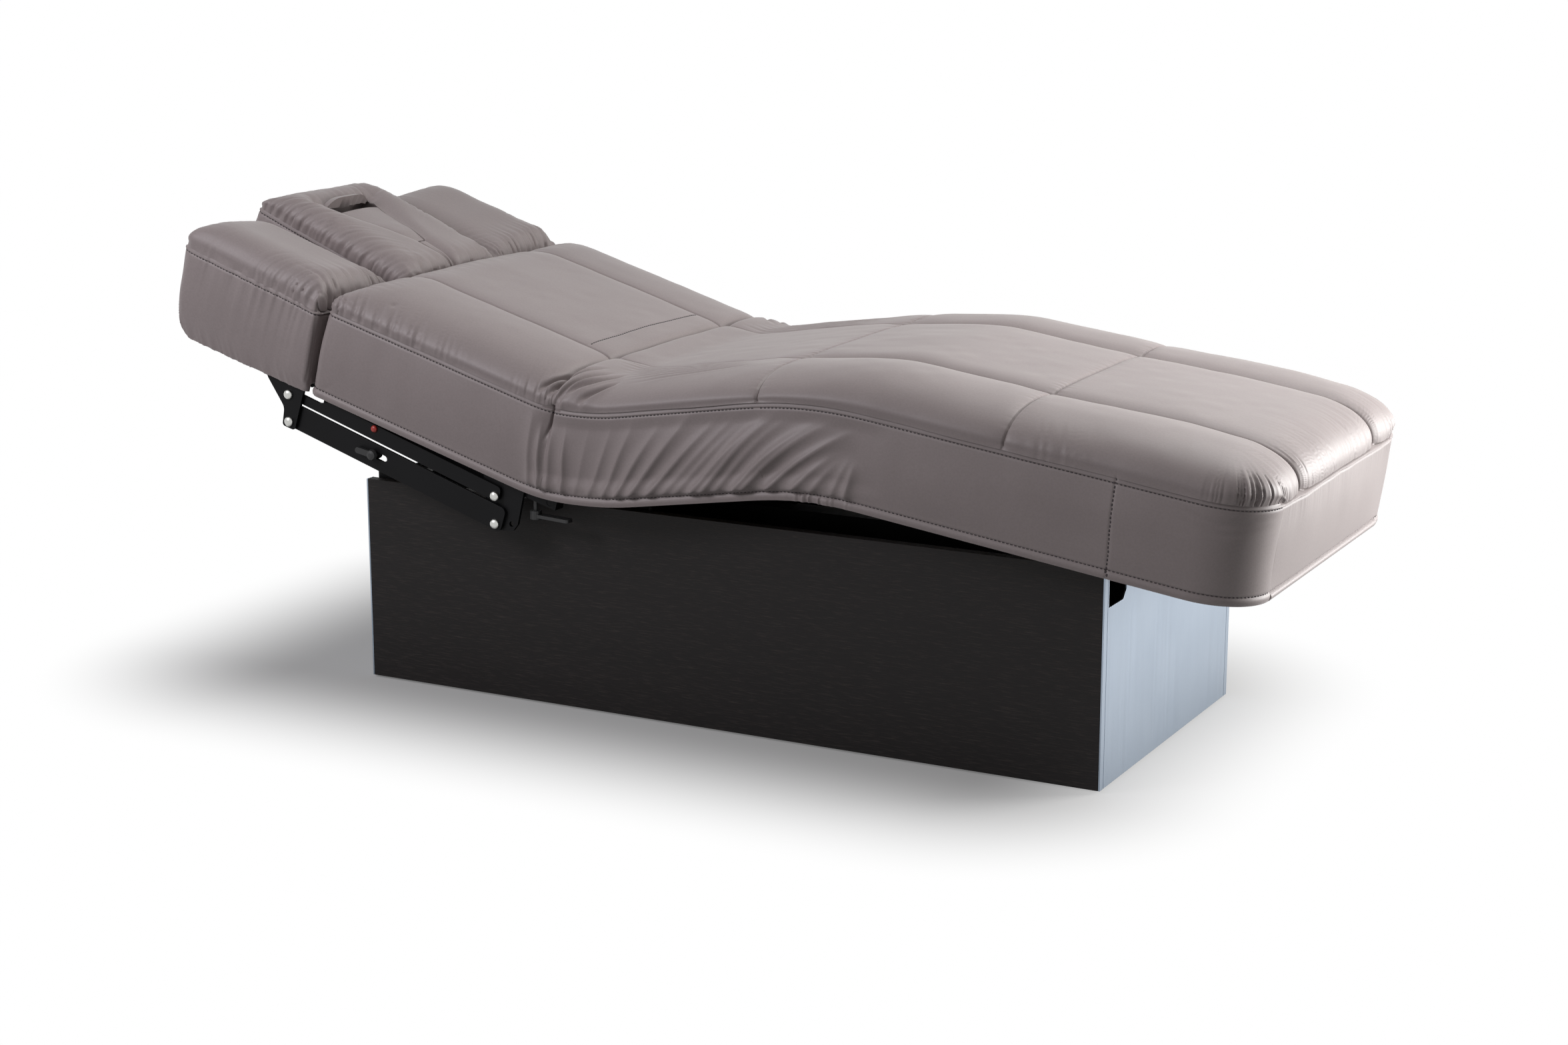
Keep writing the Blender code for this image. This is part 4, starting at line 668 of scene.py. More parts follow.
# Creases that fan out from the edge at the waist: along and across at each end.
WAIST_CREASES = ((-0.062, -0.392, 0.020, -0.310), (-0.032, -0.394, 0.075, -0.285),
                 (0.000, -0.402, 0.100, -0.300), (0.014, -0.398, 0.080, -0.345),
                 (0.038, -0.390, 0.135, -0.295), (0.074, -0.392, 0.150, -0.335))


def top_creases(t, y):
    """Creases of the top: at the waist, shallower at the rear, drawn along the seat, and one dimple."""
    rear_waist = [(t0 + 0.03, -y0 - 0.012, t1 + 0.03, -y1) for t0, y0, t1, y1 in WAIST_CREASES[1:]]
    drawn = [(0.045 + 0.017 * k, -0.215 - 0.016 * k, 0.425, -0.204 - 0.007 * k) for k in range(9)]
    drawn += [(t0 + 0.01, -y0 + 0.010, t1, -y1) for t0, y0, t1, y1 in drawn]
    dimple = np.where(y < 0, 0.0035, 0) * bump(np.hypot(t + 0.400, y + 0.360), 0, 0.0045)
    out = creases(t, y, WAIST_CREASES, deep=0.0078, wide=0.0052)
    out += creases(t, y, rear_waist, deep=0.0034, wide=0.0060)
    return out + creases(t, y, drawn, deep=0.0018, wide=0.0034) - dimple


def mattress_relief(t, y, share, inside):
    """How far the cover stands in or out: slack, seams, hem, folds, gathers and creases."""
    up = share * SIDE_TALL
    top = inside > 0
    rear = np.where(y < 0, 0, 1)
    out = slack(t, y, up, top, rear) + sewn_edge(inside) + cover_seams(t, y, up, top, rear)
    out += waist_fold(t, y, up, share, inside)
    out += edge_gathers(t, y, inside, rear) + foot_gathers(t, y, up, top)
    return out + np.where(top, top_creases(t, y), hem_band(up) + side_drape(t, up, rear))


mattress_t, mattress_inset = end_stations(HEAD_END, FOOT_END, (HEAD_CORNER, FOOT_CORNER), spacing=0.0034)
# Stations lie closer by the gathers of the head end, along the folds of the side and at each seam.
finer_t = refine(mattress_t, (HEAD_END + 0.036,), reach=0.017, finest=0.0019)
finer_t = refine(finer_t, (0.285,), reach=0.360, finest=0.0023)
seam_places = (0.0, THIGH_SEAM, CALF_SEAM, STRIP_SEAM, SIDE_SEAM)
finer_t = refine(finer_t, seam_places, reach=0.008, finest=0.0014)
mattress_inset = np.interp(finer_t, mattress_t, mattress_inset)
mattress_t = finer_t
mattress_rows = side_rows(SIDE_TALL)
grid, share, inside = pad_grid(mattress_t, mattress_inset, 0.0, COVER_HALF, HEM, SEAM, mattress_rows,
                               top_columns(COVER_HALF, (-LANE, LANE)), bulge=0.009)
t, y = grid[:, :, 0], grid[:, :, 1]
fullness = 1 - 0.22 * ramp(t, 0.02, 0.14) * ramp(t, 0.62, 0.48) + 0.09 * bump(t, 1.05, 0.13)
by_ends = both(rise_from(t - HEAD_END, reach=0.105, steep=2.2, blunt=0.55),
               rise_from(FOOT_END - t, reach=0.11, steep=2.0, blunt=0.42))
rise = 0.97 * both(crown(inside, reach=0.150), by_ends) + 0.03 * ramp(LANE - np.abs(y), 0, LANE)
grid[:, :, 2] += np.where(inside > 0, CROWN * fullness * rise, 0)
grid += grid_normals(grid) * mattress_relief(t, y, share, inside)[:, :, None]
mattress_world = on_mattress(grid)
mattress_normals = grid_normals(mattress_world)


def end_wall(ring, up_side, way, bulge, ripple, bound=True):
    """Points of the wall that closes a pad's end, between the sides and the top of its last ring."""
    rows = len(up_side)
    top = ring[rows:-rows]
    across = (top[1:-1, 1] - top[0, 1]) / (top[-1, 1] - top[0, 1])
    front, rear = ring[:rows], ring[::-1][:rows]
    wall = front[:, None] * (1 - across)[None, :, None] + rear[:, None] * across[None, :, None]
    lift = top[1:-1, 2] - (top[0, 2] + (top[-1, 2] - top[0, 2]) * across)
    wall[:, :, 2] += up_side[:, None] * lift[None, :]
    arch = (1 - (2 * up_side[:, None] - 1) ** 2) * (1 - (2 * across[None, :] - 1) ** 4)
    height = up_side[:, None] * (top[0, 2] - ring[0, 2])
    out = bulge * arch + ripple(wall[:, :, 1], height)
    out += sewn_edge((up_side[:, None] - 1) * (top[0, 2] - ring[0, 2]))
    if bound:
        out += hem_band(height)
    wall[:, :, 0] += way * out
    return wall


LIP = 0.010                             # width of the rim that a cover has underneath


def lips(stations, inset, start_in, end_in, middle, half, low, high, slot_half=None):
    """Edges of the hollow under a pad, from the rear edge round to the front edge. A slot has two edges
    more."""
    along = np.clip(stations, start_in, end_in)
    reach = half - inset - LIP
    edges = [(reach, low), (reach, high), (-reach, high), (-reach, low)]
    if slot_half is not None:
        edges[2:2] = [(slot_half, high), (-slot_half, high)]
    return [np.stack([along, middle + side, up + 0 * along], axis=1) for side, up in edges]


def head_ripple(y, up):
    """Slack of the wall at the head end."""
    return 0.0012 * noise(33, y / 0.05 + 50, up / 0.15)


def foot_ripple(y, up):
    """Soft upright folds of the foot end, strongest under its seam."""
    folds = 0.0016 * noise(31, y / 0.045 + 50, up / 0.20) * ramp(up, 0.02, 0.14)
    return folds + 0.0007 * tucks(32, y, 0.012) * ramp(up, 0.10, 0.158)


foot_wall = on_mattress(end_wall(grid[-1], mattress_rows, 1, bulge=0.007, ripple=foot_ripple))
head_wall = on_mattress(end_wall(grid[0], mattress_rows, -1, bulge=0.003, ripple=head_ripple))
# The hollow is higher over the straps and wider at the waist, where the raised back needs the room.
HOLLOW = HEM + 0.024
over_straps = 0.055 * bump(mattress_t, -0.130, 0.085) + 0.016 * bump(mattress_t, 0.0, 0.050)
round_board = 0.004 * bump(mattress_t, 0.0, 0.040)
mattress_lips = lips(mattress_t, mattress_inset, HEAD_END + LIP, FOOT_END - LIP, 0.0,
                     COVER_HALF + round_board, HEM, HOLLOW + over_straps)
cut_waist, cut_thigh = (int(np.argmin(np.abs(mattress_t - place))) for place in (0.0, THIGH_SEAM))
# Each length: its first and last ring, the two sections it joins, where it bends, what it stands for.
lengths = (("mattress_back", 0, cut_waist, ("back", "lift"), (-0.250, -0.020),
            ("back_cushion", "waist_foam")),
           ("mattress_seat", cut_waist, cut_thigh, ("lift", "thigh"), (0.06, 0.22),
            ("seat_cushion", "hip_foam", "thigh_cushion")),
           ("mattress_foot", cut_thigh, len(mattress_t) - 1, ("thigh", "calf"), (THIGH_SEAM + 0.01, 0.62),
            ("calf_cushion", "knee_foam")))


def bind_length(piece, span):
    """Bakes a length of the mattress, or its stitches, into place; nothing lets it bend between two
    sections.
    """
    ends = on_mattress(np.array([[span[0], 0, 0], [span[1], 0, 0]]))
    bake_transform(piece)


for name, first, last, bodies, span, nodes in lengths:
    cut = slice(first, last + 1)
    walls = (head_wall if first == 0 else None, foot_wall if last == len(mattress_t) - 1 else None)
    piece = cushion_mesh(name, mattress_world[cut], walls, [on_mattress(lip[cut]) for lip in mattress_lips])
    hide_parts(*nodes)
    bind_length(piece, span)


# Stitching: dark polyester thread, in a row below the edge seam, above the bound hem, across the
# strip by the waist and down the join of the side band.
def polyester_thread():
    """Polyester thread: dark, with the slanting light and dark of its twist painted into the colour as
    painted shade and highlight of the strands. The twist is too fine to show, so it is drawn seven times as
    coarse."""
    material, tree, shader, place = new_material("twisted_polyester_thread")
    twist = 0.0009
    # Painted shade and highlight of the twisted strands: slanting bands mixed into the thread's colour.
    painted_twist_shade = add_node(tree, "TexWave", {"Vector": place, "Scale": 1 / (20 * twist), "Distortion": 1.5},
                       bands_direction="DIAGONAL")
    colour = add_node(tree, "Mix", {0: painted_twist_shade.outputs["Fac"], 6: linear("#1d1719"), 7: linear("#32292c")},
                      data_type="RGBA")
    set_inputs(tree, shader, {"Base Color": colour.outputs[2], "Roughness": 0.65})
    return material


thread = polyester_thread()
# A stitch is drawn thicker than real thread, which would be too thin to show.
STITCH_LONG, STITCH_STEP, STITCH_HALF = 0.0054, 0.0070, 0.0019
STITCH_SUNK = 0.0004                    # of both ends of a stitch
STITCH_BELLY = 0.28                     # share of its length between the middle and each end of the belly


def along_line(line, length, places):
    """Values of a line of points at some places along its length."""
    return np.stack([np.interp(places, length, line[:, k]) for k in range(3)], axis=1)


def stitch_rows(name, lines):
    """One mesh of stitches along lines of points, each with the outward normals beside them."""
    vertices, faces = [], []
    for points, normals in lines:
        length = np.concatenate([[0], np.cumsum(np.linalg.norm(np.diff(points, axis=0), axis=1))])
        middle = np.arange(STITCH_STEP, length[-1] - STITCH_STEP / 2, STITCH_STEP)
        at = along_line(points, length, middle)
        ahead = along_line(points, length, middle + STITCH_LONG / 4) - at
        out = along_line(normals, length, middle)
        ahead /= np.linalg.norm(ahead, axis=1, keepdims=True)
        out /= np.linalg.norm(out, axis=1, keepdims=True)
        for place, forward, outward, sideways in zip(at, ahead, out, np.cross(ahead, out)):
            base = len(vertices)
            vertices.append(place - forward * STITCH_LONG / 2 - outward * STITCH_SUNK)
            for end in (-STITCH_BELLY, STITCH_BELLY):
                for over, up in ((1, 0.1), (0, 0.7), (-1, 0.1), (0, -0.5)):
                    vertices.append(place + forward * STITCH_LONG * end + sideways * STITCH_HALF * over
                                    + outward * STITCH_HALF * up)
            vertices.append(place + forward * STITCH_LONG / 2 - outward * STITCH_SUNK)
            for k in range(4):
                n = (k + 1) % 4
                faces += [(base, base + 1 + n, base + 1 + k), (base + 9, base + 5 + k, base + 5 + n),
                          (base + 1 + k, base + 1 + n, base + 5 + n, base + 5 + k)]
    piece = closed_piece(name, vertices, faces, thread)
    return piece


def side_row(rows, height, below):
    """Which row of a side lies some way below its seam."""
    return int(np.argmin(np.abs(rows - (1 - below / height))))


edge_row = side_row(mattress_rows, SIDE_TALL, STITCH_DROP)
hem_row = side_row(mattress_rows, SIDE_TALL, SIDE_TALL - HEM_GROOVE)
rear_hem = mattress_world.shape[1] - 1
strip_ring = int(np.argmin(np.abs(mattress_t - STRIP_SEAM)))
strip = (np.abs(mattress_world[strip_ring, :, 1]) < LANE - 0.006) & (share[strip_ring] >= 1)
join_rings = [int(np.argmin(np.abs(mattress_t - side_seam_at(SIDE_TALL * up)))) for up in mattress_rows]
join_columns = np.arange(len(mattress_rows))
foot_out = np.tile([math.cos(CALF_TILT), 0, -math.sin(CALF_TILT)], (foot_wall.shape[1], 1))
for name, first, last, bodies, span, _ in lengths:
    cut = slice(first, last + 1)
    lines = [(mattress_world[cut, column], mattress_normals[cut, column])
             for row in (edge_row, hem_row) for column in (row, rear_hem - row)]
    if mattress_t[first] < STRIP_SEAM < mattress_t[last]:
        lines.append((mattress_world[strip_ring, strip], mattress_normals[strip_ring, strip]))
    if mattress_t[first] < SIDE_SEAM < mattress_t[last]:
        lines += [(mattress_world[join_rings, column], mattress_normals[join_rings, column])
                  for column in (join_columns, rear_hem - join_columns)]
    if last == len(mattress_t) - 1:
        lines += [(foot_wall[row], foot_out) for row in (edge_row, hem_row)]
    bind_length(stitch_rows(f"stitches_{name}", lines), span)


# Head rest: a leather pad over foam on its own board, hinged to the end of the back. A slot for the
# face is left open behind a loose tapered insert; the leather rolls into it all round.
HEAD_HINGE = np.array(joints["head_tilt"]["pos_m"])
HEAD_TILT = BACK_TILT + math.radians(6.3)
HEAD_HALF, HEAD_FAR, HEAD_NEAR = 0.155, -0.378, -0.014
HEAD_HEM, HEAD_SEAM, HEAD_CROWN = 0.029, 0.166, 0.053
HEAD_COVER = HEAD_HALF - 0.003          # half width of the cover before its sides swell
HEAD_LANE = 0.084                       # width of the top on either side of the opening
SLOT_FAR, SLOT_NEAR, SLOT_HALF = -0.284, -0.262, 0.075
TIP, TIP_HALF = -0.100, 0.012
ENDS = ((0, -1), (-1, 1))               # first and last ring of a pad, and the way each faces along it


def in_section(points, hinge, tilt):
    """Places points (along, across, up) of a straight section about its hinge."""
    along, across, up = points[..., 0], points[..., 1], points[..., 2]
    return np.stack([hinge[0] + along * math.cos(tilt) + up * math.sin(tilt), across,
                     hinge[2] - along * math.sin(tilt) + up * math.cos(tilt)], axis=-1)


def opening_half(x):
    """Half width of the tapered opening, carried on as a crease to the end by the back."""
    share = (x - TIP) / (SLOT_FAR - TIP)
    return np.where(x > TIP, TIP_HALF - 0.004 * ramp(x, TIP, HEAD_NEAR),
                    TIP_HALF + (SLOT_HALF - TIP_HALF) * np.clip(share, 0, 1))


def head_top(x, inside):
    """Height of the head rest's top above its seam."""
    far = rise_from(x - HEAD_FAR, reach=0.090, steep=1.8, blunt=0.65)
    near = rise_from(HEAD_NEAR - x, reach=0.045, steep=2.4, blunt=0.5)
    return HEAD_CROWN * both(crown(inside, reach=0.062), far) * (0.35 + 0.65 * near)


def brim_sink(x):
    """How far the leather dips at the opening: deep at the slot, shallow along the crease at its tip."""
    return 0.007 + 0.013 * ramp(x, -0.11, -0.25)


head_x, head_inset = end_stations(HEAD_FAR, HEAD_NEAR, radii=(0.018, 0.012), spacing=0.0033)
finer_x = refine(head_x, (SLOT_FAR, TIP), reach=0.009, finest=0.0016)
head_inset = np.interp(finer_x, head_x, head_inset)
head_x = finer_x
head_rows = side_rows(HEAD_SEAM - HEAD_HEM, fine_low=0.0)
# Columns of the top lie closer at its edge and at the opening, which spans the shares from -0.5 to 0.5.
edge_steps = np.array([0, 0.0012, 0.0026, 0.0045, 0.007, 0.010, 0.0135]) / HEAD_LANE
brim_steps = np.array([0.010, 0.0075, 0.005, 0.003, 0.0014, 0]) / HEAD_LANE
lane_steps = np.concatenate([edge_steps, np.linspace(edge_steps[-1], 1, 26)[1:-5], 1 - brim_steps])
head_columns = np.concatenate([-1 + lane_steps * 0.5, np.linspace(-0.5, 0.5, 31)[1:-1],
                               1 - lane_steps[::-1] * 0.5])
grid, _, inside = pad_grid(head_x, head_inset, 0.0, HEAD_COVER, HEAD_HEM, HEAD_SEAM, head_rows,
                           head_columns, bulge=0.006)
rows = len(head_rows)
reach = (HEAD_COVER - head_inset)[:, None]
slot_half = opening_half(head_x)
gap = slot_half[:, None]
shares = head_columns[None, :]
warped = np.where(np.abs(shares) < 0.5, 2 * shares * gap,
                  np.sign(shares) * (gap + (np.abs(shares) - 0.5) * 2 * (reach - gap)))
grid[:, rows:-rows, 1] = warped
inside[:, rows:-rows] = reach - np.abs(warped)
x, y = grid[:, :, 0], grid[:, :, 1]
grid[:, :, 2] += np.where(inside > 0, head_top(x, inside), 0)
# The leather dips into the opening: rim is the way from its edge, beyond the way past its far end.
beside = np.abs(y) - opening_half(x)
beyond = np.maximum(SLOT_FAR - x, 0)
rim = np.where(beyond > 0, np.hypot(beyond, np.maximum(beside, 0)), np.abs(beside))
rim = np.where(x > TIP, np.maximum(beside, 0), rim)
roll = 0.011 + 0.011 * ramp(x, -0.14, -0.25) + 0.006 * ramp(beyond, 0, 0.008)
sunk = brim_sink(x) + 0.004 * ramp(x, SLOT_FAR + 0.014, SLOT_FAR)
top = inside > 0
rear = np.where(y < 0, 0, 1)
grid[:, :, 2] -= np.where(top, sunk * np.exp(-(rim / roll) ** 1.7), 0)
grid[:, :, 2] -= np.where(top & (x > TIP - 0.004), 0.0035, 0) * bump(beside, 0, 0.0028)
# Slack, then gathers along the sides, at the near and far ends and beyond the slot.
out = 0.0009 * noise(41, x / 0.06 + 20, y / 0.06 + 20) + sewn_edge(inside)
by_seam = np.exp(-(np.abs(inside) / 0.036) ** 1.4)
out += np.where(top, 0.0034, 0.0006) * by_seam * pleats(42, x - 0.75 * inside + 9 * rear, 0.0125)
by_near, by_far = HEAD_NEAR - x, x - HEAD_FAR
out += np.where(top, 0.0036, 0.0010) * np.exp(-(by_near / 0.036) ** 1.5) * pleats(43, y, 0.0120)
out += np.where(top, 0.0018, 0.0006) * np.exp(-(by_far / 0.040) ** 1.4) * tucks(44, y, 0.015)
by_slot = np.exp(-(beyond / 0.034) ** 1.6) * ramp(beside, 0.03, -0.01)
out += np.where(top & (beyond > 0), 0.0032, 0) * by_slot * pleats(45, y, 0.0115)
grid += grid_normals(grid) * out[:, :, None]
# The near end is drawn in towards its foot, clear of the end of the back.
lean = 0.030 * ramp(grid[:, :, 0], -0.10, HEAD_NEAR) * (1 - grid[:, :, 2] / 0.19)
grid[:, :, 0] -= np.clip(lean, 0, None)
# The brim of the opening, and the rings of points by which the leather rolls down into it.
front_column = rows + int(np.argmin(np.abs(head_columns + 0.5)))
rear_column = rows + int(np.argmin(np.abs(head_columns - 0.5)))
first, last = (int(np.argmin(np.abs(head_x - place))) for place in (SLOT_FAR, TIP))
brim = np.concatenate([grid[first:last, front_column], grid[last, front_column:rear_column],
                       grid[last:first:-1, rear_column], grid[first, rear_column:front_column:-1]])
depths = []
at_slot = ramp(brim[:, 0], SLOT_FAR + 0.016, SLOT_FAR)
for down, under in ((0.005, 0.012), (0.030, 0.018), (0.075, 0.018)):
    ring = brim.copy()
    ring[:, 2] = np.maximum(ring[:, 2] - down, HEAD_HEM + 0.012)
    ring[:, 0] -= under * at_slot
    depths.append(ring)
head_lips = lips(head_x, head_inset, HEAD_FAR + 0.008, HEAD_NEAR - 0.022, 0.0, HEAD_HALF,
                 HEAD_HEM, HEAD_HEM + 0.003, slot_half)


def pad_ripple(y, up):
    """Slack of a small pad's end."""
    gathers = 0.0008 * tucks(47, y, 0.013) * ramp(up, 0.08, 0.13)
    return 0.0010 * noise(46, y / 0.04 + 50, up / 0.10) + gathers


def head_place(points):
    """Places points of the head rest about its hinge."""
    return in_section(points, HEAD_HINGE, HEAD_TILT)


head_world = head_place(grid)
head_out = grid_normals(head_world)
head_walls = [head_place(end_wall(grid[ring], head_rows, facing, bulge=0.006, ripple=pad_ripple,
                                  bound=False)) for ring, facing in ENDS]
head_rest = cushion_mesh("head_rest", head_world, head_walls, [head_place(lip) for lip in head_lips],
                         (first, last, front_column, rear_column, [head_place(depth) for depth in depths]))
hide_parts("head_cushion")
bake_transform(head_rest)
edge_row = side_row(head_rows, HEAD_SEAM - HEAD_HEM, STITCH_DROP)
lines = [(head_world[:, column], head_out[:, column])
         for column in (edge_row, head_world.shape[1] - 1 - edge_row)]
far_out = head_place(np.array([-1.0, 0, 0])) - head_place(np.zeros(3))
lines.append((head_walls[0][edge_row], np.tile(far_out, (head_walls[0].shape[1], 1))))
head_stitches = stitch_rows("stitches_head_rest", lines)
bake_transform(head_stitches)


# Face insert: the loose tapered wedge of padded leather that fills the opening behind the slot.
# It is held by its fit alone and lifts out.
INSERT_PLAY = 0.0015
INSERT_LOW, INSERT_TALL = HEAD_HEM + 0.002, 0.12
insert_x = np.concatenate([SLOT_NEAR + np.array([0, 0.0008, 0.0018, 0.003, 0.005, 0.0075]),
                           np.arange(SLOT_NEAR + 0.0105, TIP - 0.003, 0.0035)])
insert_reach = opening_half(insert_x) - INSERT_PLAY
insert_half = insert_reach.max()
insert_rows = side_rows(INSERT_TALL, fine_low=0.0)
insert_columns = np.sin(np.linspace(-1, 1, 41) * math.pi / 2)
grid, share, _ = pad_grid(insert_x, insert_half - insert_reach, 0.0, insert_half, INSERT_LOW,
                          INSERT_LOW + INSERT_TALL, insert_rows, insert_columns, bulge=0.0)
rows = len(insert_rows)
x, y = grid[:, :, 0], grid[:, :, 1]
half_here = opening_half(x)
# The top follows the head rest's, a little below its brim, with a slight crown and a rounded far end.
rise = HEAD_SEAM + head_top(x, HEAD_HALF - half_here) - brim_sink(x) - 0.0015
rise += 0.0065 * np.sqrt(np.clip(1 - (y / half_here) ** 2, 0, 1)) * ramp(x, TIP, -0.15)
rise -= 0.007 * (1 - np.clip((x - SLOT_NEAR) / 0.009, 0, 1)) ** 2
rise += 0.0010 * noise(51, x / 0.03 + 9, y / 0.03 + 9)
grid[:, :, 2] = INSERT_LOW + share * (rise - INSERT_LOW)
grid[:, :rows, 2] = INSERT_LOW + insert_rows * (grid[:, rows:rows + 1, 2] - INSERT_LOW)
grid[:, -rows:, 2] = INSERT_LOW + insert_rows[::-1] * (grid[:, -rows - 1:-rows, 2] - INSERT_LOW)
insert_lips = lips(insert_x, insert_half - insert_reach, SLOT_NEAR + 0.006, TIP - 0.010, 0.0,
                   insert_half + 0.006, INSERT_LOW, INSERT_LOW + 0.002)


def no_ripple(y, up):
    """No slack: both ends of the insert are drawn tight."""
    return 0 * y


insert_walls = [head_place(end_wall(grid[ring], insert_rows, facing, bulge=0.0, ripple=no_ripple,
                                    bound=False)) for ring, facing in ENDS]
insert = cushion_mesh("face_wedge", head_place(grid), insert_walls, [head_place(lip) for lip in insert_lips])
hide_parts("face_insert")
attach(insert, "insert")


# Arm rests: two leather pads over foam, each on the tray of its bracket beside the head rest. A sewn
# seam runs round the top edge, gathered at the end by the back, and the sides roll in underneath.
ARM_IN, ARM_FAR, ARM_NEAR = 0.165, -0.836, -0.521
ARM_HEM, ARM_SEAM, ARM_TOP = 0.0080, 0.160, 0.219
ARM_TALL = ARM_SEAM - ARM_HEM
ARM_HALF = (HALF_WIDTH - ARM_IN) / 2
ARM_COVER = ARM_HALF - 0.003            # half width of the cover before its sides swell
TRAY_TOP = 0.0184
STRAP_ROOM = 0.0140                     # rise of the near lower edge, for the strap of a lowered arm rest
ARM_LEAN = 0.056                        # towards the head, for each metre up
FAR_RISE, FAR_LIFT = 0.013, 0.045       # of the seam and of the rounded lower edge, at the far end


def in_back(points):
    """Places points of an arm rest, which lies along the back."""
    return in_section(points, WAIST, BACK_TILT)


for side, way in SIDES:
    middle = way * (ARM_IN + HALF_WIDTH) / 2
    arm_x, arm_inset = end_stations(ARM_FAR, ARM_NEAR, radii=(0.022, 0.010), spacing=0.0030)
    arm_rows = side_rows(ARM_TALL, fine_low=0.0)
    grid, share, inside = pad_grid(arm_x, arm_inset, middle, ARM_COVER, ARM_HEM, ARM_SEAM, arm_rows,
                                   top_columns(ARM_COVER), bulge=0.0045)
    x, y = grid[:, :, 0], grid[:, :, 1]
    top = inside > 0
    by_near, by_far = ARM_NEAR - x, x - ARM_FAR
    by_ends = both(rise_from(by_far, reach=0.085, steep=2.2, blunt=0.55),
                   rise_from(by_near, reach=0.045, steep=2.4, blunt=0.5))
    # The top falls towards the head rest.
    slope = 0.62 + 0.50 * np.clip((np.abs(y) - ARM_IN) / (HALF_WIDTH - ARM_IN), 0, 1) ** 0.8
    rise = (ARM_TOP - ARM_SEAM) * both(crown(inside, reach=0.080), by_ends) * slope
    grid[:, :, 2] += np.where(top, rise, 0)
    up = share * ARM_TALL
    tuck_in = np.where(top, 0, 0.0015 * (1 - np.clip(up / 0.040, 0, 1)) ** 2)
    grid[:, :, 1] -= np.sign(y - middle) * tuck_in
    # Slack, gathers of the top, tucks under the seam and at the lower edge, then gathers at both ends.
    inner = np.where((y - middle) * way > 0, 0, 1)
    out = 0.0011 * noise(61 + way, x / 0.06 + 40, y / 0.06 + 40)
    out += 0.0010 * noise(63 + way, x / 0.05 + 40, up / 0.05) + sewn_edge(inside)
    gathered = (0.2 + ramp(x, -0.70, -0.56)) * np.exp(-(np.abs(inside) / 0.030) ** 1.4)
    out += np.where(top, 0.0028, 0) * gathered * pleats(65 + way, x - 0.6 * inside + 5 * inner, 0.0120)
    hang = np.exp(-np.abs(inside) / 0.045)
    out += np.where(top, 0, 0.0034) * hang * tucks(67 + way, x - 0.12 * inside + 5 * inner, 0.016)
    low_edge = np.where(top, 0, 0.0026) * ramp(up, 0.040, 0.006)
    out += low_edge * tucks(69 + way, x + 0.5 * up + 5 * inner, 0.012)
    out += np.where(top, 0.0038, 0.0010) * np.exp(-(by_near / 0.040) ** 1.4) * pleats(71 + way, y, 0.0120)
    out += np.where(top, 0.0012, 0.0004) * np.exp(-(by_far / 0.040) ** 1.3) * pleats(73 + way, y, 0.0125)
    grid += grid_normals(grid) * out[:, :, None]
    near_hem = ARM_HEM + STRAP_ROOM * ramp(arm_x, ARM_NEAR - 0.004, ARM_NEAR)
    over_tray = np.maximum(near_hem, TRAY_TOP + 0.0026 * ramp(arm_x, ARM_NEAR - 0.012, ARM_NEAR))
    arm_lips = lips(arm_x, arm_inset, ARM_FAR + 0.008, ARM_NEAR - 0.0005, middle, ARM_HALF + 0.0005,
                    near_hem, over_tray)
    walls = [end_wall(grid[ring], arm_rows, facing, bulge=0.007, ripple=pad_ripple, bound=False)
             for ring, facing in ENDS]
    from_corner = ARM_HALF - np.abs(walls[1][..., 1] - middle)
    above_hem = (walls[1][..., 2] - ARM_HEM) / ARM_TALL
    walls[1][..., 2] += STRAP_ROOM * ramp(from_corner, 0.004, 0.014) * (1 - above_hem)
    for points in (grid, *walls, *arm_lips):
        outward = np.clip((ARM_NEAR - points[..., 0]) / (ARM_NEAR - ARM_FAR), 0, 1)
        height = np.clip((points[..., 2] - ARM_HEM) / ARM_TALL, 0, 1)
        lift = FAR_LIFT * np.clip(1 - (points[..., 0] - ARM_FAR) / 0.050, 0, 1) ** 2
        points[..., 2] += FAR_RISE * outward * height + lift * (1 - height) ** 1.5
        points[..., 0] -= ARM_LEAN * (points[..., 2] - ARM_HEM)
    arm_world = in_back(grid)
    arm_out = grid_normals(arm_world)
    arm_walls = [in_back(wall) for wall in walls]
    pad = cushion_mesh(f"arm_rest_{side}", arm_world, arm_walls, [in_back(lip) for lip in arm_lips])
    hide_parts(f"arm_cushion_{side}")
    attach(pad, f"arm_{side}")
    edge_row = side_row(arm_rows, ARM_TALL, STITCH_DROP)
    lines = [(arm_world[:, column], arm_out[:, column])
             for column in (edge_row, arm_out.shape[1] - 1 - edge_row)]
    for wall, (_, facing) in zip(arm_walls, ENDS):
        end_out = facing * np.array([math.cos(BACK_TILT), 0, -math.sin(BACK_TILT)])
        lines.append((wall[edge_row], np.tile(end_out, (wall.shape[1], 1))))
    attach(stitch_rows(f"stitches_arm_rest_{side}", lines), f"arm_{side}")


# Bolts of the arm linkage: dome-headed, of bright zinc-plated steel, on each pivot of both sides. Heads
# by the back sit on the link, heads by the arm rest on its bracket.
def zinc_plate():
    """Bright zinc plating: smooth, a little cloudy."""
    material, tree, shader, place = new_material("bright_zinc_plate")
    cloud_size = 0.004
    cloud = add_node(tree, "TexNoise", {"Vector": place, "Scale": 1 / cloud_size, "Detail": 2.0})
    colour = add_node(tree, "Mix", {0: cloud.outputs["Fac"], 6: linear("#b5b5b2"), 7: linear("#cfcfcb")},
                      data_type="RGBA")
    gloss = add_node(tree, "MapRange", {"Value": cloud.outputs["Fac"], "To Min": 0.18, "To Max": 0.32})
    set_inputs(tree, shader, {"Base Color": colour.outputs[2], "Roughness": gloss.outputs[0],
                              "Metallic": 1.0})
    return material


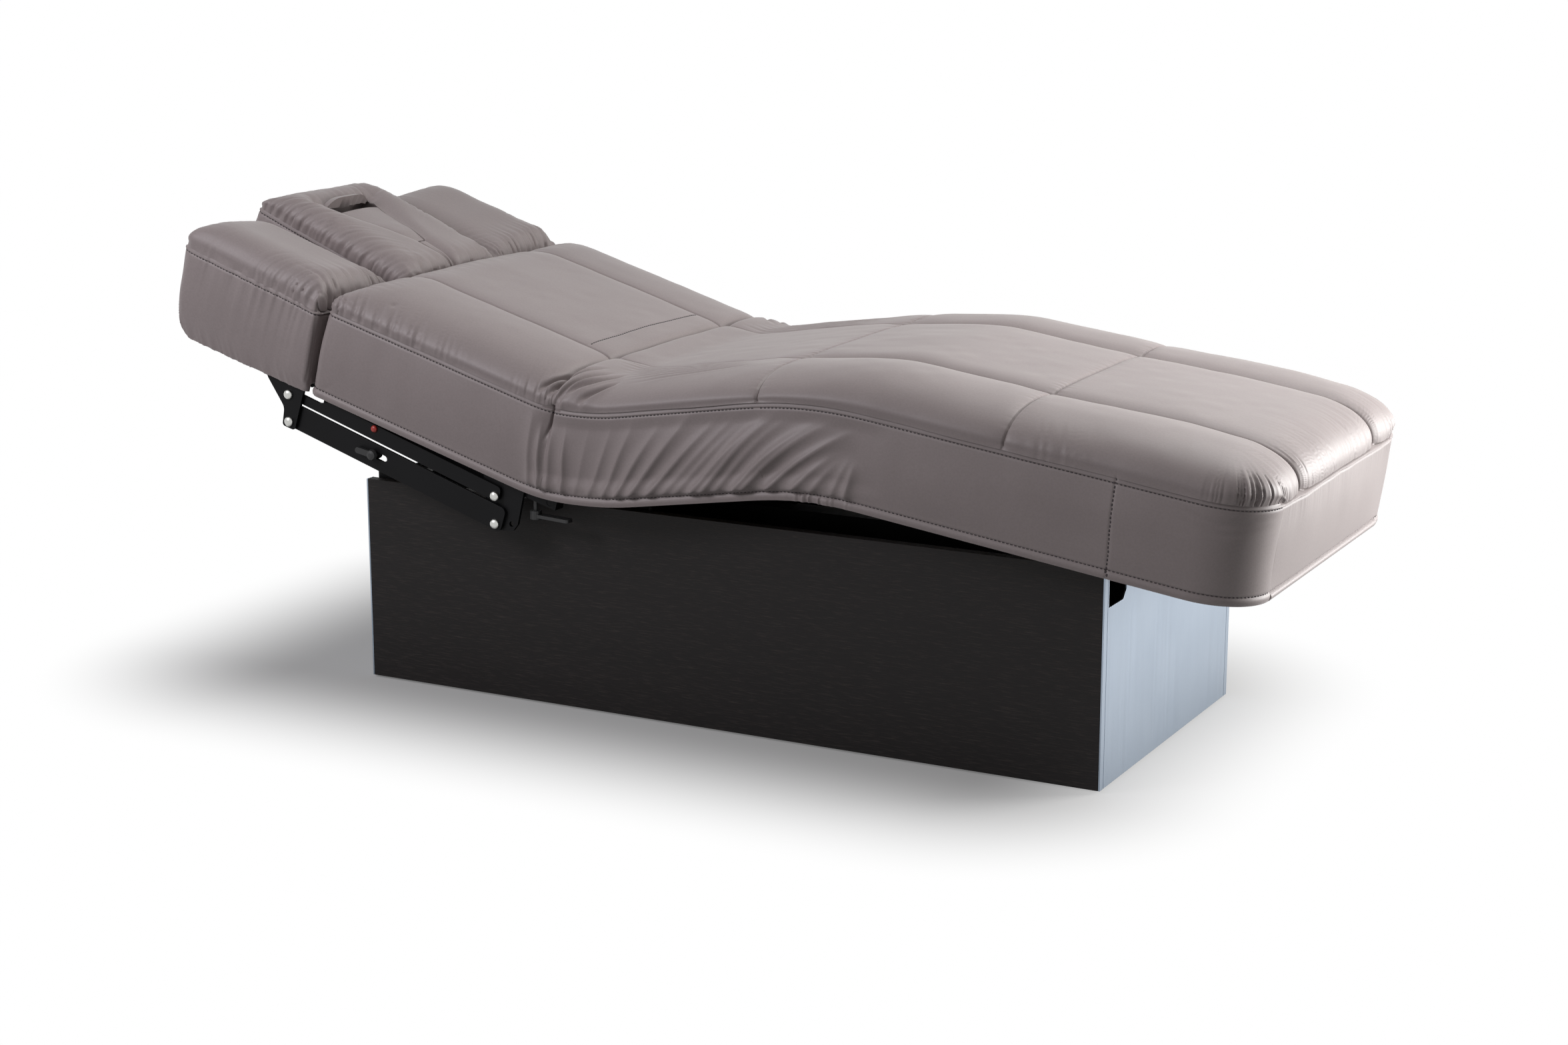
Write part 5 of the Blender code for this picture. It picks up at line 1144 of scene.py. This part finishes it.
zinc = zinc_plate()
BOLT_RADIUS, BOLT_HEIGHT, BOLT_RIM = 0.0092, 0.0072, 0.0012
BOLT_SIDES, BOLT_SHARP = 32, 50          # faces round a head, and the angle past which an edge shows
BOLT_OFF = 0.0002                        # from a face to the head on it
BRACKET_STEP = 0.0065                    # from the link's outer face to the bracket's


def dome_bolt(name, centre, way, body, size=1.0):
    """A dome head with a short rim, its axis across the table."""
    profile = [(0.0, BOLT_HEIGHT)]
    profile += [(BOLT_RADIUS * math.sin(a), BOLT_RIM + (BOLT_HEIGHT - BOLT_RIM) * math.cos(a))
                for a in np.linspace(0, math.pi / 2, 9)[1:]]
    profile += [(BOLT_RADIUS, 0.0), (0.0, 0.0)]
    points, faces, rings = [], [], []
    for radius, up in profile:
        turns = np.arange(BOLT_SIDES if radius else 1) * 2 * math.pi / BOLT_SIDES
        rings.append(range(len(points), len(points) + len(turns)))
        points += [(radius * math.cos(turn), way * up, radius * math.sin(turn)) for turn in turns]
    for one, two in zip(rings, rings[1:]):
        for k in range(BOLT_SIDES):
            n = (k + 1) % BOLT_SIDES
            corners = (one[k % len(one)], one[n % len(one)], two[n % len(two)], two[k % len(two)])
            faces.append(tuple(dict.fromkeys(corners)))
    bolt = closed_piece(name, points, faces, zinc, sharp=BOLT_SHARP)
    bolt.data.transform(Matrix.Translation(centre) @ Matrix.Scale(size, 4))
    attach(bolt, body)
    return bolt


for side, way in SIDES:
    lower = Vector(joints[f"arm_{side}_swing"]["pos_m"])
    upper = Vector(joints[f"arm_{side}_strap"]["pos_m"])
    far_lower = Vector(joints[f"arm_{side}_level"]["pos_m"])
    link_face = max(way * corner[1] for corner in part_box(f"arm_link_{side}"))
    bracket_face = link_face + BRACKET_STEP
    arm = f"arm_{side}"
    for label, place, face, body in (("lower", lower, link_face, "back"),
                                     ("upper", upper, link_face, "back"),
                                     ("far_lower", far_lower, bracket_face, arm),
                                     ("far_upper", far_lower + upper - lower, bracket_face, arm)):
        dome_bolt(f"bolt_{label}_{side}", Vector((place.x, way * (face + BOLT_OFF), place.z)), way, body)


# Cap under the front edge of the back: a small round button of red plastic, pressed into the
# outer face of the strap.
def red_plastic():
    """Moulded red plastic: even and half glossy, with a faint mottle."""
    material, tree, shader, place = new_material("red_moulded_plastic")
    mottle_size = 0.002
    mottle = add_node(tree, "TexNoise", {"Vector": place, "Scale": 1 / mottle_size, "Detail": 2.0})
    colour = add_node(tree, "Mix", {0: mottle.outputs["Fac"], 6: linear("#a02a22"), 7: linear("#b6352a")},
                      data_type="RGBA")
    set_inputs(tree, shader, {"Base Color": colour.outputs[2], "Roughness": 0.38})
    return material


CAP_ALONG, CAP_UP = -0.372, -0.0065      # from the waist hinge, along the back
CAP_SIZE = 0.7                           # beside a bolt head
strap_face = min(corner[1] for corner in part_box("arm_strap_front"))
cap_place = in_back(np.array([CAP_ALONG, 0, CAP_UP]))
cap_place[1] = strap_face - BOLT_OFF
cap = dome_bolt("red_cap", Vector(cap_place), -1, "strap_front", CAP_SIZE)
cap.data.materials[0] = red_plastic()


# Studio: a pale floor and a white surround. Soft lamps hang over the foot end and, much weaker, over the
# head end; a narrow one shines in low from the foot side and the strongest stands at the front.
def seen_directly(tree):
    """One for rays that show the thing itself, straight or in a reflection; nought for rays that light."""
    ray = add_node(tree, "LightPath").outputs
    mirrored = add_node(tree, "Math", {0: ray["Is Glossy Ray"], 1: ray["Is Transmission Ray"]},
                        operation="MAXIMUM")
    return add_node(tree, "Math", {0: ray["Is Camera Ray"], 1: mirrored.outputs[0]},
                    operation="MAXIMUM").outputs[0]


WHITE = (1, 1, 1, 1)
FLOOR_GLOW, SURROUND_LIGHT = 0.16, 0.13                       # strengths, where the white itself has 1
FLOOR_REACH = 30
SHADE_LOW, SHADE_HIGH = (-0.80, -0.31, 0), (0.55, 0.31, 0)    # about the floor under the base
SHADE_FADE = 0.52                                             # width of the shaded floor round it


def floor_paint():
    """Floor paint: grey with a faint glow round the base, where it shows the shade, and white further out.
    The grey throws little light back up; the glow makes it look pale all the same."""
    material, tree, shader, place = new_material("pale_floor")
    tree.nodes.remove(shader)
    paint = add_node(tree, "BsdfDiffuse", {"Color": linear("#969696")})
    glow = add_node(tree, "Emission", {"Color": WHITE, "Strength": FLOOR_GLOW})
    white = add_node(tree, "Emission", {"Color": WHITE, "Strength": 1.0})
    near = add_node(tree, "AddShader", {0: paint.outputs[0], 1: glow.outputs[0]})
    within = add_node(tree, "VectorMath", {0: place, 1: SHADE_LOW}, operation="MAXIMUM")
    within = add_node(tree, "VectorMath", {0: within.outputs[0], 1: SHADE_HIGH}, operation="MINIMUM")
    away = add_node(tree, "VectorMath", {0: place, 1: within.outputs[0]}, operation="DISTANCE")
    fade = add_node(tree, "MapRange", {"Value": away.outputs["Value"], "From Min": 0.0,
                                       "From Max": SHADE_FADE}, interpolation_type="SMOOTHSTEP")
    sweep = add_node(tree, "MixShader", {0: fade.outputs[0], 1: near.outputs[0], 2: white.outputs[0]})
    seen = add_node(tree, "MixShader", {0: seen_directly(tree), 1: paint.outputs[0], 2: sweep.outputs[0]})
    tree.links.new(seen.outputs[0], tree.nodes["Material Output"].inputs["Surface"])
    return material


floor_mesh = bpy.data.meshes.new("floor")
floor_corners = [(x * FLOOR_REACH, y * FLOOR_REACH, 0) for x, y in ((-1, -1), (1, -1), (1, 1), (-1, 1))]
floor_mesh.from_pydata(floor_corners, [], [(0, 1, 2, 3)])
floor_mesh.materials.append(floor_paint())
floor = bpy.data.objects.new("floor", floor_mesh)
bpy.context.collection.objects.link(floor)

world = bpy.data.worlds.new("white_surround")
bpy.context.scene.world = world
world.use_nodes = True
sky = world.node_tree
tone = add_node(sky, "MapRange", {"Value": seen_directly(sky), "To Min": SURROUND_LIGHT, "To Max": 1.0})
set_inputs(sky, sky.nodes["Background"], {"Color": WHITE, "Strength": tone.outputs[0]})

# Each lamp: where it is, what it points at, its size in metres, watts, tint and the spread of its beam.
WARM, COOL = (1.0, 0.99, 0.975), (0.98, 0.95, 1.0)
lamps = (("over_foot", (1.0, 0.6, 2.1), (0.6, 0.0, 0.6), 1.4, 25, WARM, 180),
         ("over_head", (-1.6, 0.5, 2.3), (-0.8, 0.0, 0.7), 1.3, 2, WARM, 180),
         ("foot_side", (2.5, 1.5, 0.85), (1.0, 0.0, 0.45), 1.3, 20, WARM, 70),
         ("front", (-1.6, -2.4, 2.2), (-0.2, -0.2, 0.5), 1.0, 46, COOL, 180))
for name, place, target, size, watts, tint, spread in lamps:
    lamp = bpy.data.lights.new(name, "AREA")
    lamp.size = size
    lamp.energy = watts
    lamp.color = tint
    lamp.spread = math.radians(spread)
    holder = bpy.data.objects.new(name, lamp)
    holder.location = place
    holder.rotation_euler = (Vector(target) - Vector(place)).to_track_quat("-Z", "Y").to_euler()
    bpy.context.collection.objects.link(holder)

# The camera, as fitted to the photograph: off the foot end at the front, looking a little down.
CAMERA_AT, CAMERA_DOWN, CAMERA_ROUND = (2.3423, -4.3662, 1.4754), 13.328, 27.826
camera = bpy.data.cameras.new("camera")
camera.sensor_width = 36
camera.lens = 64.27
camera_stand = bpy.data.objects.new("camera", camera)
camera_stand.location = CAMERA_AT
camera_stand.rotation_euler = (math.radians(90 - CAMERA_DOWN), 0, math.radians(CAMERA_ROUND))
bpy.context.collection.objects.link(camera_stand)
bpy.context.scene.camera = camera_stand
bpy.context.scene.view_settings.view_transform = "Standard"
